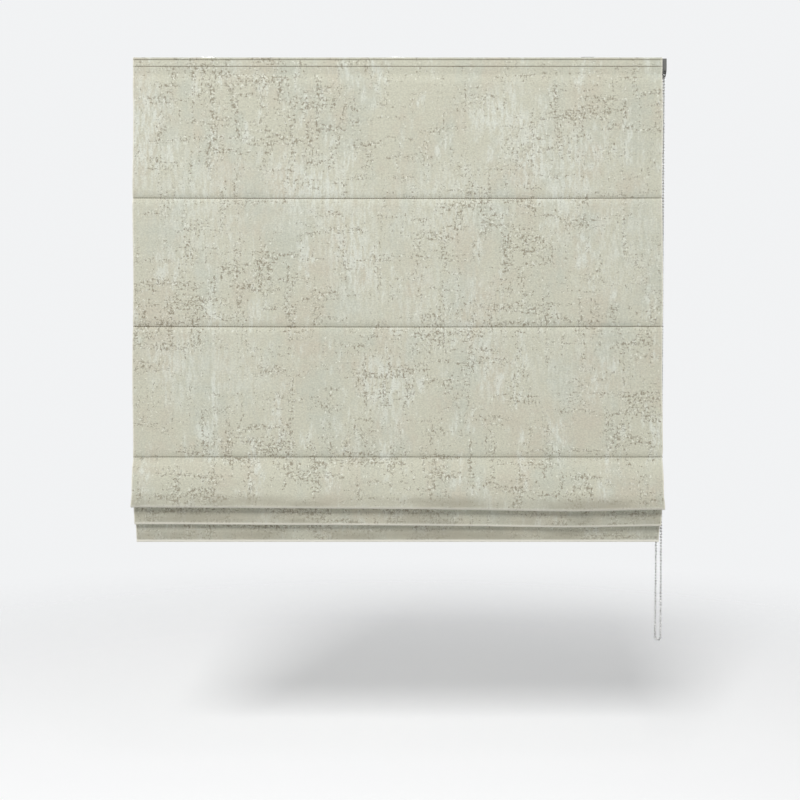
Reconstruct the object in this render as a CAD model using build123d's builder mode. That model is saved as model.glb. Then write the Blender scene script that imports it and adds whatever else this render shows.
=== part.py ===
from math import atan2, cos, degrees, pi, sin
import os

from build123d import *

# Roman blind in a chain-driven headrail, partly raised, in millimetres.
# X runs along the width, -Y is the room side, +Z is up. The origin is the middle of the fixing plane,
# which is the top face of the three mounting brackets. A "drop" is measured down from the cloth's top edge.

# --- headrail -------------------------------------------------------------------------------------------
rail_length = 1054.8
rail_depth = 40.0
rail_height = 33.0
rail_wall = 1.4
rail_mouth = 26.0
rail_top = -3.6
rail_corner = 1.2
cap_plate = 3.0
cap_corner = 2.0
plug_length = 10.0
plug_clearance = 0.2
plug_wall = 1.5
plug_web = 1.6

# --- brackets and their swivel levers -------------------------------------------------------------------
bracket_x = (-380.0, 0.0, 380.0)
bracket_names = ("left", "centre", "right")
bracket_width = 28.0
bracket_depth = 34.0
plate_thickness = 1.5
screw_hole_radius = 2.25
screw_spacing = 17.0
screw_row_y = -6.0
part_gap = 0.3
lever_pivot_y = 3.0
lever_width = 8.0
lever_thickness = 1.5
lever_reach = 14.0
handle_reach = 24.0
lever_hub_radius = 4.6
rivet_radius = 2.0
rivet_clearance = 0.08
rivet_head_radius = 3.6
rivet_head = 0.9
hook_width = 10.0
hook_reach = 4.2
hook_setback = 0.6
bracket_corner = 2.0

# --- shaft, drums and cradles ---------------------------------------------------------------------------
shaft_drop = 21.2
shaft_flats = 6.0
shaft_inset = 1.0
socket_clearance = 0.1
cord_x = (-430.0, -143.0, 143.0, 430.0)
drum_radius = 11.0
flange_radius = 11.8
drum_width = 22.0
flange_thickness = 1.5
journal_radius = 4.0
journal_clearance = 0.05
ear_thickness = 2.0
ear_gap = 0.4
ear_wall = 2.5
ear_step = 4.0
journal_overhang = 0.3
cradle_base = 1.2
nozzle_radius = 3.0
nozzle_bore = 1.7
nozzle_length = 3.0
cord_radius = 0.6
cord_clearance = 0.3
bush_radius = 5.5
bush_wall = 2.0

# --- chain drive ----------------------------------------------------------------------------------------
chain_offset = 6.6
bead_pitch = 6.0
bead_radius = 2.25
wheel_pockets = 14
wheel_clearance = 0.3
wheel_flange = 0.6
chamber_clearance = 0.7
housing_wall = 1.6
cover_thickness = 1.3
spring_wire = 1.0
spring_turns = 8
spring_pitch = 1.9
spring_inset = 2.0
clutch_bore = 8.0
core_radius = 6.2
core_length = 22.0
socket_depth = 12.0
cover_screw_radius = 1.2
cover_screw_head = 2.0
cover_screw_inset = 2.4
cover_screw_drop = 3.0
cover_screw_depth = 4.0
cover_screw_slot = 0.5
head_depth = 0.7
head_clearance = 0.1
cover_edge = 0.5
rim_height = 1.4
wrap_share = 0.99
chain_bend = 60.0
loop_bend = 5.3
joint_gap = 0.2
loop_drop = 1172.0
loop_front = (-2.5, 3.9)
loop_back = (-11.2, 12.1)

# --- cloth ----------------------------------------------------------------------------------------------
cloth_past_left, cloth_past_right = 2.6, 0.6
face_thickness = 0.8
lining_thickness = 0.4
layer_gap = 0.3
lining_inset = 6.0
tape_thickness = 1.2
tape_width = 20.0
tape_drop = 1.25
tape_inset = 5.0
tape_gap = 0.1
lining_start = 1.0
lining_hem = 5.0
seam_drops = (281.0, 538.0, 799.0)
stack_pitch = 24.0
fold_a_drop = 903.0
fold_b_drop = 938.0
hem_drop = 973.0
fold_a_reach = 13.0
fold_b_back = 8.8
hem_back = 28.1
fold_a_width = 12.8
fold_b_width = 9.0
leg_spacing = 2.6
leg_step = 0.1
turn_radius = 1.25
turn_rise = 2.0
turn_lead = 1.0
seam_lead = 4.0
outer_lead = 0.5
inner_lead = 3.0
loop_lead = 6.0
hem_lead = 5.0
outer_step = 2.2
outer_leg = 4.2
crisp_bend = 8.0
firm_bend = 10.0
easy_bend = 20.0
slack_bend = 30.0
loop_bulge = 40.0
outer_bulge = 60.0
fold_turn_share = 0.44
hem_turn_share = 0.45
hem_depth = 36.0
bar_width = 25.0
bar_thickness = 3.0
bar_inset = 14.0
bar_cap_length = 3.0
bar_corner = 0.8
bar_cap_corner = 1.2

# --- rods and what is on them ---------------------------------------------------------------------------
rod_radius = 2.0
rod_inset = 14.0
pocket_clearance = 0.25
pocket_wall = 0.35
seam_flange = 6.0
rod_cap_length = 8.0
rod_cap_wall = 0.6
rod_cap_end = 1.0
ring_wire = 0.85
anchor_height = 9.0
anchor_chamfer = 0.6
anchor_bore_gap = 0.1
anchor_bore_share = 0.7
cord_end_share = 0.15

# --- worked out from the above --------------------------------------------------------------------------
rail_left, rail_right = -rail_length / 2, rail_length / 2
rail_front = -rail_depth / 2
rail_bottom = rail_top - rail_height
rail_floor = rail_bottom + rail_wall
lip_underside = rail_top - rail_wall
shaft_z = -shaft_drop
face_centre = rail_front - 2 * tape_thickness - tape_gap - lining_thickness - layer_gap - face_thickness / 2
lining_offset = face_thickness / 2 + layer_gap + lining_thickness / 2
lining_back = face_centre + lining_offset + lining_thickness / 2
pocket_radius = rod_radius + pocket_clearance + pocket_wall
rod_y = lining_back + layer_gap + pocket_radius
cord_y = -(drum_radius + cord_clearance + cord_radius)
anchor_radius = cord_y - (rod_y + pocket_radius) - layer_gap
ring_radius = anchor_radius - ring_wire
rod_4_drop = seam_drops[2] + stack_pitch
rod_5_drop = rod_4_drop + stack_pitch
rod_drops = (*seam_drops, rod_4_drop, rod_5_drop)
cloth_left, cloth_right = rail_left - cloth_past_left, rail_right + cloth_past_right
cloth_middle = (cloth_left + cloth_right) / 2
cloth_width = cloth_right - cloth_left
housing_left = rail_right
chamber_left = rail_right + cap_plate
chain_x = rail_right + chain_offset
wheel_pitch_radius = bead_pitch / (2 * sin(pi / wheel_pockets))
wheel_half = bead_radius + wheel_clearance + wheel_flange
cover_left = chain_x + wheel_half + part_gap
cover_right = cover_left + cover_thickness
chamber_radius = wheel_pitch_radius + bead_radius + chamber_clearance
housing_radius = chamber_radius + housing_wall


def z_of(drop):
    """Height of a point that lies this far below the cloth's top edge."""
    return rail_top - drop


# The cloth's route, as (y, drop, turn radius) of the face fabric's middle. Each raised leg runs in front
# of the ones below it, one leg spacing apart, and the loops hang from rods 4 and 5. A "lead" is how far
# from its rod or turn a leg takes up its own plane.
second_leg = face_centre - leg_spacing
third_leg = face_centre - 2 * leg_spacing - leg_step
fourth_leg = face_centre - 3 * leg_spacing - 2 * leg_step
fifth_leg = face_centre - outer_leg * leg_spacing
fold_a_y = face_centre - fold_a_reach
fold_b_y = face_centre + fold_b_back
turn_4 = rod_4_drop - seam_flange / 2 - turn_rise
turn_5 = rod_5_drop - seam_flange / 2 - turn_rise
hem_start = rod_5_drop + hem_lead
hem_slope = hem_back / (hem_drop - hem_start)
hem_angle = atan2(hem_back, hem_drop - hem_start)
hem_pocket = bar_thickness + 2 * layer_gap + face_thickness
hem_route = [
    (face_centre, hem_start, easy_bend),
    (face_centre + hem_back, hem_drop, hem_pocket * hem_turn_share),
]
hem_turn_y = face_centre + hem_back + hem_pocket * cos(hem_angle)
hem_turn_drop = hem_drop - hem_pocket * sin(hem_angle)
hem_end = (hem_turn_y - hem_depth * sin(hem_angle), hem_turn_drop - hem_depth * cos(hem_angle), 0)
fold_a_route = [
    (face_centre, seam_drops[2] + seam_lead, easy_bend),
    (face_centre - outer_step * leg_spacing, turn_4 - outer_lead, slack_bend),
    (fifth_leg, turn_5 - turn_lead, outer_bulge),
    (fold_a_y, fold_a_drop, fold_a_width * fold_turn_share),
    (fold_a_y + fold_a_width, fold_a_drop, fold_a_width * fold_turn_share),
    (fourth_leg, rod_5_drop + inner_lead, easy_bend),
    (fourth_leg + leg_step, turn_5 - turn_lead, easy_bend),
    (second_leg, rod_4_drop + turn_lead, crisp_bend),
    (second_leg, turn_4, turn_radius),
]
fold_b_route = [
    (face_centre, turn_4, turn_radius),
    (face_centre, rod_4_drop + seam_lead, firm_bend),
    (third_leg, turn_5 - turn_lead, firm_bend),
    (third_leg, rod_5_drop + loop_lead, loop_bulge),
    (fold_b_y, fold_b_drop, fold_b_width * fold_turn_share),
    (fold_b_y + fold_b_width, fold_b_drop, fold_b_width * fold_turn_share),
    (second_leg, rod_5_drop + loop_lead, easy_bend),
    (second_leg, turn_5, turn_radius),
    (face_centre, turn_5, turn_radius),
]
cloth_route = [
    (face_centre, 0, 0),
    *fold_a_route,
    *fold_b_route,
    *hem_route,
    (hem_turn_y, hem_turn_drop, hem_pocket * hem_turn_share),
    hem_end,
]
lining_top = (face_centre, lining_start, 0)
lining_end = (
    face_centre + hem_slope * (hem_drop - hem_depth - lining_hem - hem_start),
    hem_drop - hem_depth - lining_hem,
    0,
)
lining_route = [lining_top, *fold_a_route, *fold_b_route, hem_route[0], lining_end]


def shifted(route, distance):
    """The route moved to the left of its direction of travel, with its radii kept concentric."""
    points = [Vector(y, z_of(drop)) for y, drop, _ in route]
    ways = [(b - a).normalized() for a, b in zip(points, points[1:])]
    moved = []
    for i, point in enumerate(points):
        before = ways[max(i - 1, 0)]
        after = ways[min(i, len(ways) - 1)]
        left = Vector(-before.Y - after.Y, before.X + after.X)
        scale = 2 / (left.length * left.length)
        turn = before.X * after.Y - before.Y * after.X
        radius = route[i][2]
        if 0 < i < len(points) - 1 and abs(turn) > 1e-9:
            radius = radius - distance if turn > 0 else radius + distance
        moved.append((point.X + left.X * scale * distance, point.Y + left.Y * scale * distance, radius))
    return moved


def layer(route, middle, thickness, left):
    """Closed outline of a cloth layer that follows the route, offset to its left by middle."""
    inner = shifted(route, middle + thickness / 2)
    outer = shifted(route, middle - thickness / 2)
    with BuildSketch(Plane.YZ.offset(left)) as profile:
        with BuildLine():
            one = FilletPolyline([p[:2] for p in inner], radius=[p[2] for p in inner[1:-1]])
            two = FilletPolyline([p[:2] for p in outer], radius=[p[2] for p in outer[1:-1]])
            Line(one @ 0, two @ 0)
            Line(one @ 1, two @ 1)
        make_face()
    return profile.sketch


def cloth_length(route, start_drop, end_drop):
    """Length along a stretch of the cloth's route between two heights on its first and last legs."""
    points = [(y, z_of(drop)) for y, drop, _ in route]
    with BuildLine() as stretch:
        FilletPolyline(points, radius=[p[2] for p in route[1:-1]])
    first = points[0][1] - z_of(start_drop)
    last = z_of(end_drop) - points[-1][1]
    return sum(edge.length for edge in stretch.edges()) - first - last


def save(builder, name):
    """Label the piece and write its STEP file."""
    builder.part.label = name
    export_step(builder.part, f"parts/{name}.step")


os.makedirs("parts", exist_ok=True)

# --- headrail -------------------------------------------------------------------------------------------
with BuildPart() as headrail:
    with BuildSketch(Plane.YZ.offset(rail_left)):
        with Locations((0, (rail_top + rail_bottom) / 2)):
            RectangleRounded(rail_depth, rail_height, rail_corner)
            Rectangle(rail_depth - 2 * rail_wall, rail_height - 2 * rail_wall, mode=Mode.SUBTRACT)
        with Locations((0, rail_top - rail_wall / 2)):
            Rectangle(rail_mouth, 2 * rail_wall, mode=Mode.SUBTRACT)
    extrude(amount=rail_right - rail_left)
    with BuildSketch(Plane.XY.offset(rail_bottom)):
        with Locations(*[(x, cord_y) for x in cord_x]):
            Circle(nozzle_radius + plug_clearance)
    extrude(amount=rail_wall, mode=Mode.SUBTRACT)
save(headrail, "headrail")

# --- touch tape: hooks on the rail, loops on the cloth --------------------------------------------------
tape_z = z_of(tape_drop + tape_width / 2)
with BuildPart() as hook_tape:
    with BuildSketch(Plane.XZ.offset(-rail_front)):
        with Locations((0, tape_z)):
            Rectangle(rail_right - rail_left, tape_width)
    extrude(amount=tape_thickness)
save(hook_tape, "hook_tape")

with BuildPart() as loop_tape:
    with BuildSketch(Plane.XZ.offset(-rail_front + tape_thickness)):
        with Locations((cloth_middle, tape_z)):
            Rectangle(cloth_width - 2 * tape_inset, tape_width)
    extrude(amount=tape_thickness)
save(loop_tape, "loop_tape")

# --- cloth ----------------------------------------------------------------------------------------------
with BuildPart() as face_fabric:
    extrude(layer(cloth_route, 0, face_thickness, cloth_left), amount=cloth_width)
save(face_fabric, "face_fabric")

with BuildPart() as lining:
    lining_profile = layer(lining_route, lining_offset, lining_thickness, cloth_left + lining_inset)
    extrude(lining_profile, amount=cloth_width - 2 * lining_inset)
save(lining, "lining")

# --- rods, their stitched-on pocket tapes and end caps --------------------------------------------------
rod_left, rod_right = cloth_left + rod_inset, cloth_right - rod_inset
flange_y = lining_back + layer_gap + pocket_wall / 2


def rod_pocket(drop):
    """Profile of a pocket tape: a flat strip stitched to the lining and a tube behind it for the rod."""
    with BuildSketch(Plane.YZ.offset(rod_left + rod_cap_length)) as profile:
        with Locations((rod_y, z_of(drop))):
            Circle(pocket_radius)
        with Locations((flange_y, z_of(drop))):
            Rectangle(pocket_wall, seam_flange)
        with Locations((rod_y, z_of(drop))):
            Circle(rod_radius + pocket_clearance, mode=Mode.SUBTRACT)
    return profile.sketch


def rod_caps(drops):
    """A pair of push-on caps for the rod at each of these drops."""
    with BuildPart() as caps:
        for drop in drops:
            for end, inward in ((rod_left, 1), (rod_right, -1)):
                with BuildSketch(Plane.YZ.offset(end)):
                    with Locations((rod_y, z_of(drop))):
                        Circle(rod_radius + rod_cap_wall)
                extrude(amount=inward * rod_cap_length)
                with BuildSketch(Plane.YZ.offset(end + inward * rod_cap_end)):
                    with Locations((rod_y, z_of(drop))):
                        Circle(rod_radius)
                extrude(amount=inward * rod_cap_length, mode=Mode.SUBTRACT)
    return caps


for number, drop in enumerate(rod_drops, 1):
    with BuildPart() as rod_tape:
        extrude(rod_pocket(drop), amount=rod_right - rod_left - 2 * rod_cap_length)
    save(rod_tape, f"rod_tape_{number}")
    with BuildPart() as rod:
        with BuildSketch(Plane.YZ.offset(rod_left + rod_cap_end)):
            with Locations((rod_y, z_of(drop))):
                Circle(rod_radius)
        extrude(amount=rod_right - rod_left - 2 * rod_cap_end)
    save(rod, f"rod_{number}")

save(rod_caps(seam_drops), "rod_caps_upper")
save(rod_caps([rod_4_drop]), "rod_caps_4")
save(rod_caps([rod_5_drop]), "rod_caps_5")

# --- cord rings on rods 1 to 4, and the anchors that tie the cords at rod 5 -----------------------------
for number, drop in enumerate(rod_drops[:-1], 1):
    with BuildPart() as rings:
        for x in cord_x:
            with BuildSketch(Plane.XZ.offset(-cord_y)):
                with Locations((x + ring_radius, z_of(drop))):
                    Circle(ring_wire)
            revolve(axis=Axis((x, cord_y, 0), (0, 0, 1)))
    save(rings, f"cord_rings_{number}")

with BuildPart() as anchors:
    with BuildSketch(Plane.XY.offset(z_of(rod_5_drop) - anchor_height / 2)):
        with Locations(*[(x, cord_y) for x in cord_x]):
            Circle(anchor_radius)
    extrude(amount=anchor_height)
    chamfer(anchors.edges().filter_by(GeomType.CIRCLE), anchor_chamfer)
    with BuildSketch(Plane.XY.offset(z_of(rod_5_drop) + anchor_height / 2)):
        with Locations(*[(x, cord_y) for x in cord_x]):
            Circle(cord_radius + anchor_bore_gap)
    extrude(amount=-anchor_height * anchor_bore_share, mode=Mode.SUBTRACT)
save(anchors, "cord_anchors")

# --- lift cords: over the front of each drum and straight down to the anchors ---------------------------
cord_end = z_of(rod_5_drop) - anchor_height * cord_end_share
for number, x in enumerate(cord_x, 1):
    with BuildPart() as lift_cord:
        with BuildLine(Plane.YZ.offset(x)) as route:
            over = CenterArc((0, shaft_z), -cord_y, 90, 90)
            Line(over @ 1, (cord_y, cord_end))
        with BuildSketch(Plane(origin=route.line @ 0, z_dir=route.line % 0)):
            Circle(cord_radius)
        sweep(path=route.line)
    save(lift_cord, f"lift_cord_{number}")

# --- spool cradles and drums ----------------------------------------------------------------------------
ear_offset = drum_width / 2 + flange_thickness + ear_gap
journal_end = ear_offset + ear_thickness + journal_overhang
cradle_half = rail_depth / 2 - rail_wall - part_gap
for number, x in enumerate(cord_x, 1):
    with BuildPart() as cradle:
        with BuildSketch(Plane.XY.offset(rail_floor)):
            with Locations((x, 0)):
                Rectangle(2 * (ear_offset + ear_thickness), 2 * cradle_half)
        extrude(amount=cradle_base)
        for side in (-ear_offset - ear_thickness, ear_offset):
            with BuildSketch(Plane.YZ.offset(x + side)):
                with BuildLine():
                    Polyline(
                        (-cradle_half, rail_floor),
                        (cradle_half, rail_floor),
                        (cradle_half, rail_floor + ear_step),
                        (journal_radius + ear_wall, shaft_z + journal_radius),
                        (-journal_radius - ear_wall, shaft_z + journal_radius),
                        (-cradle_half, rail_floor + ear_step),
                        close=True,
                    )
                make_face()
                with Locations((0, shaft_z)):
                    Circle(journal_radius + ear_wall)
                    Circle(journal_radius + journal_clearance, mode=Mode.SUBTRACT)
            extrude(amount=ear_thickness)
        with BuildSketch(Plane.XY.offset(rail_floor + cradle_base)):
            with Locations((x, cord_y)):
                Circle(nozzle_radius)
        extrude(amount=-(cradle_base + rail_wall + nozzle_length))
        with BuildSketch(Plane.XY.offset(rail_floor + cradle_base)):
            with Locations((x, cord_y)):
                Circle(nozzle_bore)
        extrude(amount=-(cradle_base + rail_wall + nozzle_length), mode=Mode.SUBTRACT)
    save(cradle, f"spool_cradle_{number}")

    with BuildPart() as drum:
        with BuildSketch(Plane.XY) as section:
            with BuildLine():
                half = drum_width / 2
                Polyline(
                    (-journal_end, 0),
                    (-journal_end, journal_radius),
                    (-half - flange_thickness, journal_radius),
                    (-half - flange_thickness, flange_radius),
                    (-half, flange_radius),
                    (-half, drum_radius),
                    (half, drum_radius),
                    (half, flange_radius),
                    (half + flange_thickness, flange_radius),
                    (half + flange_thickness, journal_radius),
                    (journal_end, journal_radius),
                    (journal_end, 0),
                    close=True,
                )
            make_face()
        revolve(axis=Axis.X)
        with BuildSketch(Plane.YZ.offset(-journal_end)):
            RegularPolygon(shaft_flats / 2 + socket_clearance, 6, major_radius=False)
        extrude(amount=2 * journal_end, mode=Mode.SUBTRACT)
    drum.part.position = (x, 0, shaft_z)
    save(drum, f"lift_drum_{number}")

# --- shaft and the idle end -----------------------------------------------------------------------------
shaft_left = rail_left + shaft_inset
core_left = rail_right + cap_plate - core_length
shaft_right = core_left + socket_depth - shaft_inset
with BuildPart() as drive_shaft:
    with BuildSketch(Plane.YZ.offset(shaft_left)):
        with Locations((0, shaft_z)):
            RegularPolygon(shaft_flats / 2, 6, major_radius=False)
    extrude(amount=shaft_right - shaft_left)
save(drive_shaft, "drive_shaft")

plug_half = rail_depth / 2 - rail_wall - plug_clearance
plug_bottom = rail_floor + plug_clearance
plug_top = lip_underside - plug_clearance
with BuildPart() as idle_cap:
    with BuildSketch(Plane.YZ.offset(rail_left - cap_plate)):
        with Locations((0, (rail_top + rail_bottom) / 2)):
            RectangleRounded(rail_depth, rail_height, cap_corner)
    extrude(amount=cap_plate)
    with BuildSketch(Plane.YZ.offset(rail_left)):
        with Locations((0, (plug_top + plug_bottom) / 2)):
            Rectangle(2 * plug_half, plug_top - plug_bottom)
            Rectangle(2 * (plug_half - plug_wall), plug_top - plug_bottom - 2 * plug_wall, mode=Mode.SUBTRACT)
        with Locations((0, shaft_z)):
            Circle(bush_radius + bush_wall)
    extrude(amount=plug_length)
    with BuildSketch(Plane.YZ.offset(rail_left)):
        with Locations((0, shaft_z)):
            Circle(bush_radius + journal_clearance)
    extrude(amount=plug_length, mode=Mode.SUBTRACT)
    with BuildSketch(Plane.YZ.offset(rail_left)):
        for side in (-1, 1):
            with Locations((side * (plug_half + bush_radius + plug_wall) / 2, shaft_z)):
                Rectangle(plug_half - bush_radius - plug_wall, plug_web)
    extrude(amount=plug_length)
save(idle_cap, "idle_end_cap")

with BuildPart() as shaft_bush:
    with BuildSketch(Plane.YZ.offset(rail_left + part_gap)):
        with Locations((0, shaft_z)):
            Circle(bush_radius)
    extrude(amount=plug_length)
    with BuildSketch(Plane.YZ.offset(shaft_left)):
        with Locations((0, shaft_z)):
            RegularPolygon(shaft_flats / 2 + socket_clearance, 6, major_radius=False)
    extrude(amount=plug_length, mode=Mode.SUBTRACT)
save(shaft_bush, "shaft_bush")

# --- chain drive: housing, cover, wheel, wrap spring and core -------------------------------------------
slot_half = bead_radius + chamber_clearance
screw_reach = housing_radius - cover_screw_inset
screw_places = [(side * screw_reach, rail_top - cover_screw_drop) for side in (-1, 1)]
with BuildPart() as drive_housing:
    with BuildSketch(Plane.YZ.offset(housing_left)):
        with BuildLine():
            Polyline(
                (-housing_radius, rail_top),
                (housing_radius, rail_top),
                (housing_radius, shaft_z),
                (-housing_radius, shaft_z),
                close=True,
            )
        make_face()
        with Locations((0, shaft_z)):
            Circle(housing_radius)
    extrude(amount=cover_left - housing_left)
    with BuildSketch(Plane.YZ.offset(chamber_left)):
        with Locations((0, shaft_z)):
            Circle(chamber_radius)
        for side in (-1, 1):
            with Locations((side * wheel_pitch_radius, shaft_z - housing_radius)):
                Rectangle(2 * slot_half, 2 * housing_radius)
    extrude(amount=cover_left - chamber_left, mode=Mode.SUBTRACT)
    with BuildSketch(Plane.YZ.offset(housing_left)):
        with Locations((0, (plug_top + plug_bottom) / 2)):
            Rectangle(2 * plug_half, plug_top - plug_bottom)
    extrude(amount=-2 * plug_length)
    with BuildSketch(Plane.YZ.offset(housing_left - 2 * plug_length)):
        with Locations((0, shaft_z)):
            Circle(clutch_bore)
    extrude(amount=2 * plug_length + cap_plate, mode=Mode.SUBTRACT)
    with BuildSketch(Plane.YZ.offset(cover_left)):
        with Locations(*screw_places):
            Circle(cover_screw_radius)
    extrude(amount=-cover_screw_depth, mode=Mode.SUBTRACT)
save(drive_housing, "drive_housing")

with BuildPart() as drive_cover:
    with BuildSketch(Plane.YZ.offset(cover_left)):
        with BuildLine():
            Polyline(
                (-housing_radius, rail_top),
                (housing_radius, rail_top),
                (housing_radius, shaft_z),
                (-housing_radius, shaft_z),
                close=True,
            )
        make_face()
        with Locations((0, shaft_z)):
            Circle(housing_radius)
    extrude(amount=cover_thickness)
    fillet(drive_cover.faces().sort_by(Axis.X)[-1].edges(), cover_edge)
    with BuildSketch(Plane.YZ.offset(cover_left)):
        with Locations(*screw_places):
            Circle(cover_screw_radius + head_clearance)
    extrude(amount=cover_thickness, mode=Mode.SUBTRACT)
    with BuildSketch(Plane.YZ.offset(cover_right)):
        with Locations(*screw_places):
            Circle(cover_screw_head + head_clearance)
    extrude(amount=-head_depth, mode=Mode.SUBTRACT)
save(drive_cover, "drive_cover")

with BuildPart() as cover_screws:
    with BuildSketch(Plane.YZ.offset(cover_right)):
        with Locations(*screw_places):
            Circle(cover_screw_head)
    extrude(amount=-head_depth)
    with BuildSketch(Plane.YZ.offset(cover_right)):
        with Locations(*screw_places):
            Circle(cover_screw_radius)
    extrude(amount=-cover_thickness - cover_screw_depth + head_clearance)
    with BuildSketch(Plane.YZ.offset(cover_right)):
        with Locations(*screw_places):
            Rectangle(cover_screw_head, cover_screw_slot)
            Rectangle(cover_screw_slot, cover_screw_head)
    extrude(amount=-head_depth / 2, mode=Mode.SUBTRACT)
save(cover_screws, "cover_screws")

hub_radius = wheel_pitch_radius - bead_radius - wheel_clearance
wheel_rim = wheel_pitch_radius + rim_height
with BuildPart() as chain_wheel:
    with BuildSketch(Plane.XY):
        with BuildLine():
            groove = bead_radius + wheel_clearance
            Polyline(
                (chain_x - wheel_half, core_radius + journal_clearance),
                (chain_x - wheel_half, wheel_rim),
                (chain_x - groove, wheel_rim),
                (chain_x - groove, hub_radius),
                (chain_x + groove, hub_radius),
                (chain_x + groove, wheel_rim),
                (chain_x + wheel_half, wheel_rim),
                (chain_x + wheel_half, core_radius + journal_clearance),
                close=True,
            )
        make_face()
    revolve(axis=Axis.X)
    with Locations(Location((chain_x, 0, 0), (0, 90, 0))):
        with PolarLocations(wheel_pitch_radius, wheel_pockets):
            Sphere(bead_radius + 2 * wheel_clearance, mode=Mode.SUBTRACT)
chain_wheel.part.position = (0, 0, shaft_z)
save(chain_wheel, "chain_wheel")

core_right = chain_x + wheel_half
with BuildPart() as drive_core:
    with BuildSketch(Plane.YZ.offset(core_left)):
        with Locations((0, shaft_z)):
            Circle(core_radius)
    extrude(amount=core_right - core_left)
    with BuildSketch(Plane.YZ.offset(core_left)):
        with Locations((0, shaft_z)):
            RegularPolygon(shaft_flats / 2 + socket_clearance, 6, major_radius=False)
    extrude(amount=socket_depth, mode=Mode.SUBTRACT)
save(drive_core, "drive_core")

spring_radius = clutch_bore - spring_wire / 2 - journal_clearance
spring_left = housing_left - 2 * plug_length + spring_inset
with BuildPart() as clutch_spring:
    with BuildLine():
        coil = Helix(
            spring_pitch,
            spring_pitch * spring_turns,
            spring_radius,
            center=(spring_left, 0, shaft_z),
            direction=(1, 0, 0),
        )
    with BuildSketch(Plane(origin=coil @ 0, z_dir=coil % 0)):
        Circle(spring_wire / 2)
    sweep(path=coil, is_frenet=True)
save(clutch_spring, "clutch_spring")

# --- bead chain: over the wheel and down to the loop ----------------------------------------------------
chain_route = [
    (chain_x, wheel_pitch_radius, shaft_z),
    (chain_x, wheel_pitch_radius, shaft_z + wheel_pitch_radius),
    (chain_x, -wheel_pitch_radius, shaft_z + wheel_pitch_radius),
    (chain_x, -wheel_pitch_radius, shaft_z - housing_radius),
    (chain_x + loop_front[0], loop_front[1], z_of(loop_drop)),
    (chain_x + loop_back[0], loop_back[1], z_of(loop_drop)),
    (chain_x, wheel_pitch_radius, shaft_z - housing_radius),
    (chain_x, wheel_pitch_radius, shaft_z - joint_gap),
]
wrap = wheel_pitch_radius * wrap_share
chain_radii = [wrap, wrap, chain_bend, loop_bend, loop_bend, chain_bend]
with BuildPart() as bead_chain:
    with BuildLine() as chain_line:
        FilletPolyline(chain_route, radius=chain_radii)
    with BuildSketch(Plane(origin=chain_line.line @ 0, z_dir=chain_line.line % 0)):
        Circle(bead_radius)
    sweep(path=chain_line.line)
save(bead_chain, "bead_chain")
chain_length = chain_line.wire().length
chain_share = bead_chain.part.volume / (pi * bead_radius**2 * chain_length)
print("chain radii", [round(r, 1) for r in chain_radii], "length", round(chain_length, 1))
print("chain volume over section times length", round(chain_share, 4))
print("lift cord radius", -cord_y)

# --- bottom bar in the hem ------------------------------------------------------------------------------
bar_up = (hem_pocket + bar_width) / 2
bar_y = face_centre + hem_back + hem_pocket / 2 * cos(hem_angle) - bar_up * sin(hem_angle)
bar_drop = hem_drop - hem_pocket / 2 * sin(hem_angle) - bar_up * cos(hem_angle)
bar_left, bar_right = cloth_left + bar_inset, cloth_right - bar_inset
with BuildPart() as bottom_bar:
    with BuildSketch(Plane.YZ.offset(bar_left)):
        with Locations(Location((bar_y, z_of(bar_drop)), degrees(hem_angle))):
            RectangleRounded(bar_thickness, bar_width, bar_corner)
    extrude(amount=bar_right - bar_left)
save(bottom_bar, "bottom_bar")

with BuildPart() as bar_caps:
    for start in (bar_left - bar_cap_length, bar_right):
        with BuildSketch(Plane.YZ.offset(start)):
            with Locations(Location((bar_y, z_of(bar_drop)), degrees(hem_angle))):
                RectangleRounded(bar_thickness, bar_width, bar_cap_corner)
        extrude(amount=bar_cap_length)
save(bar_caps, "bar_end_caps")

# --- brackets, swivel levers and rivets -----------------------------------------------------------------
hub_top = -plate_thickness - part_gap
cam_top = lip_underside - part_gap
cam_bottom = cam_top - lever_thickness
hook_inner = -rail_mouth / 2 + hook_setback
with BuildPart() as rivets:
    with BuildSketch(Plane.XY.offset(-plate_thickness / 2)):
        with Locations(*[(x, lever_pivot_y) for x in bracket_x]):
            Circle(rivet_radius)
    extrude(amount=cam_bottom - part_gap + plate_thickness / 2)
    with BuildSketch(Plane.XY.offset(cam_bottom - part_gap)):
        with Locations(*[(x, lever_pivot_y) for x in bracket_x]):
            Circle(rivet_head_radius)
    extrude(amount=-rivet_head)
save(rivets, "lever_rivets")

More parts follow.
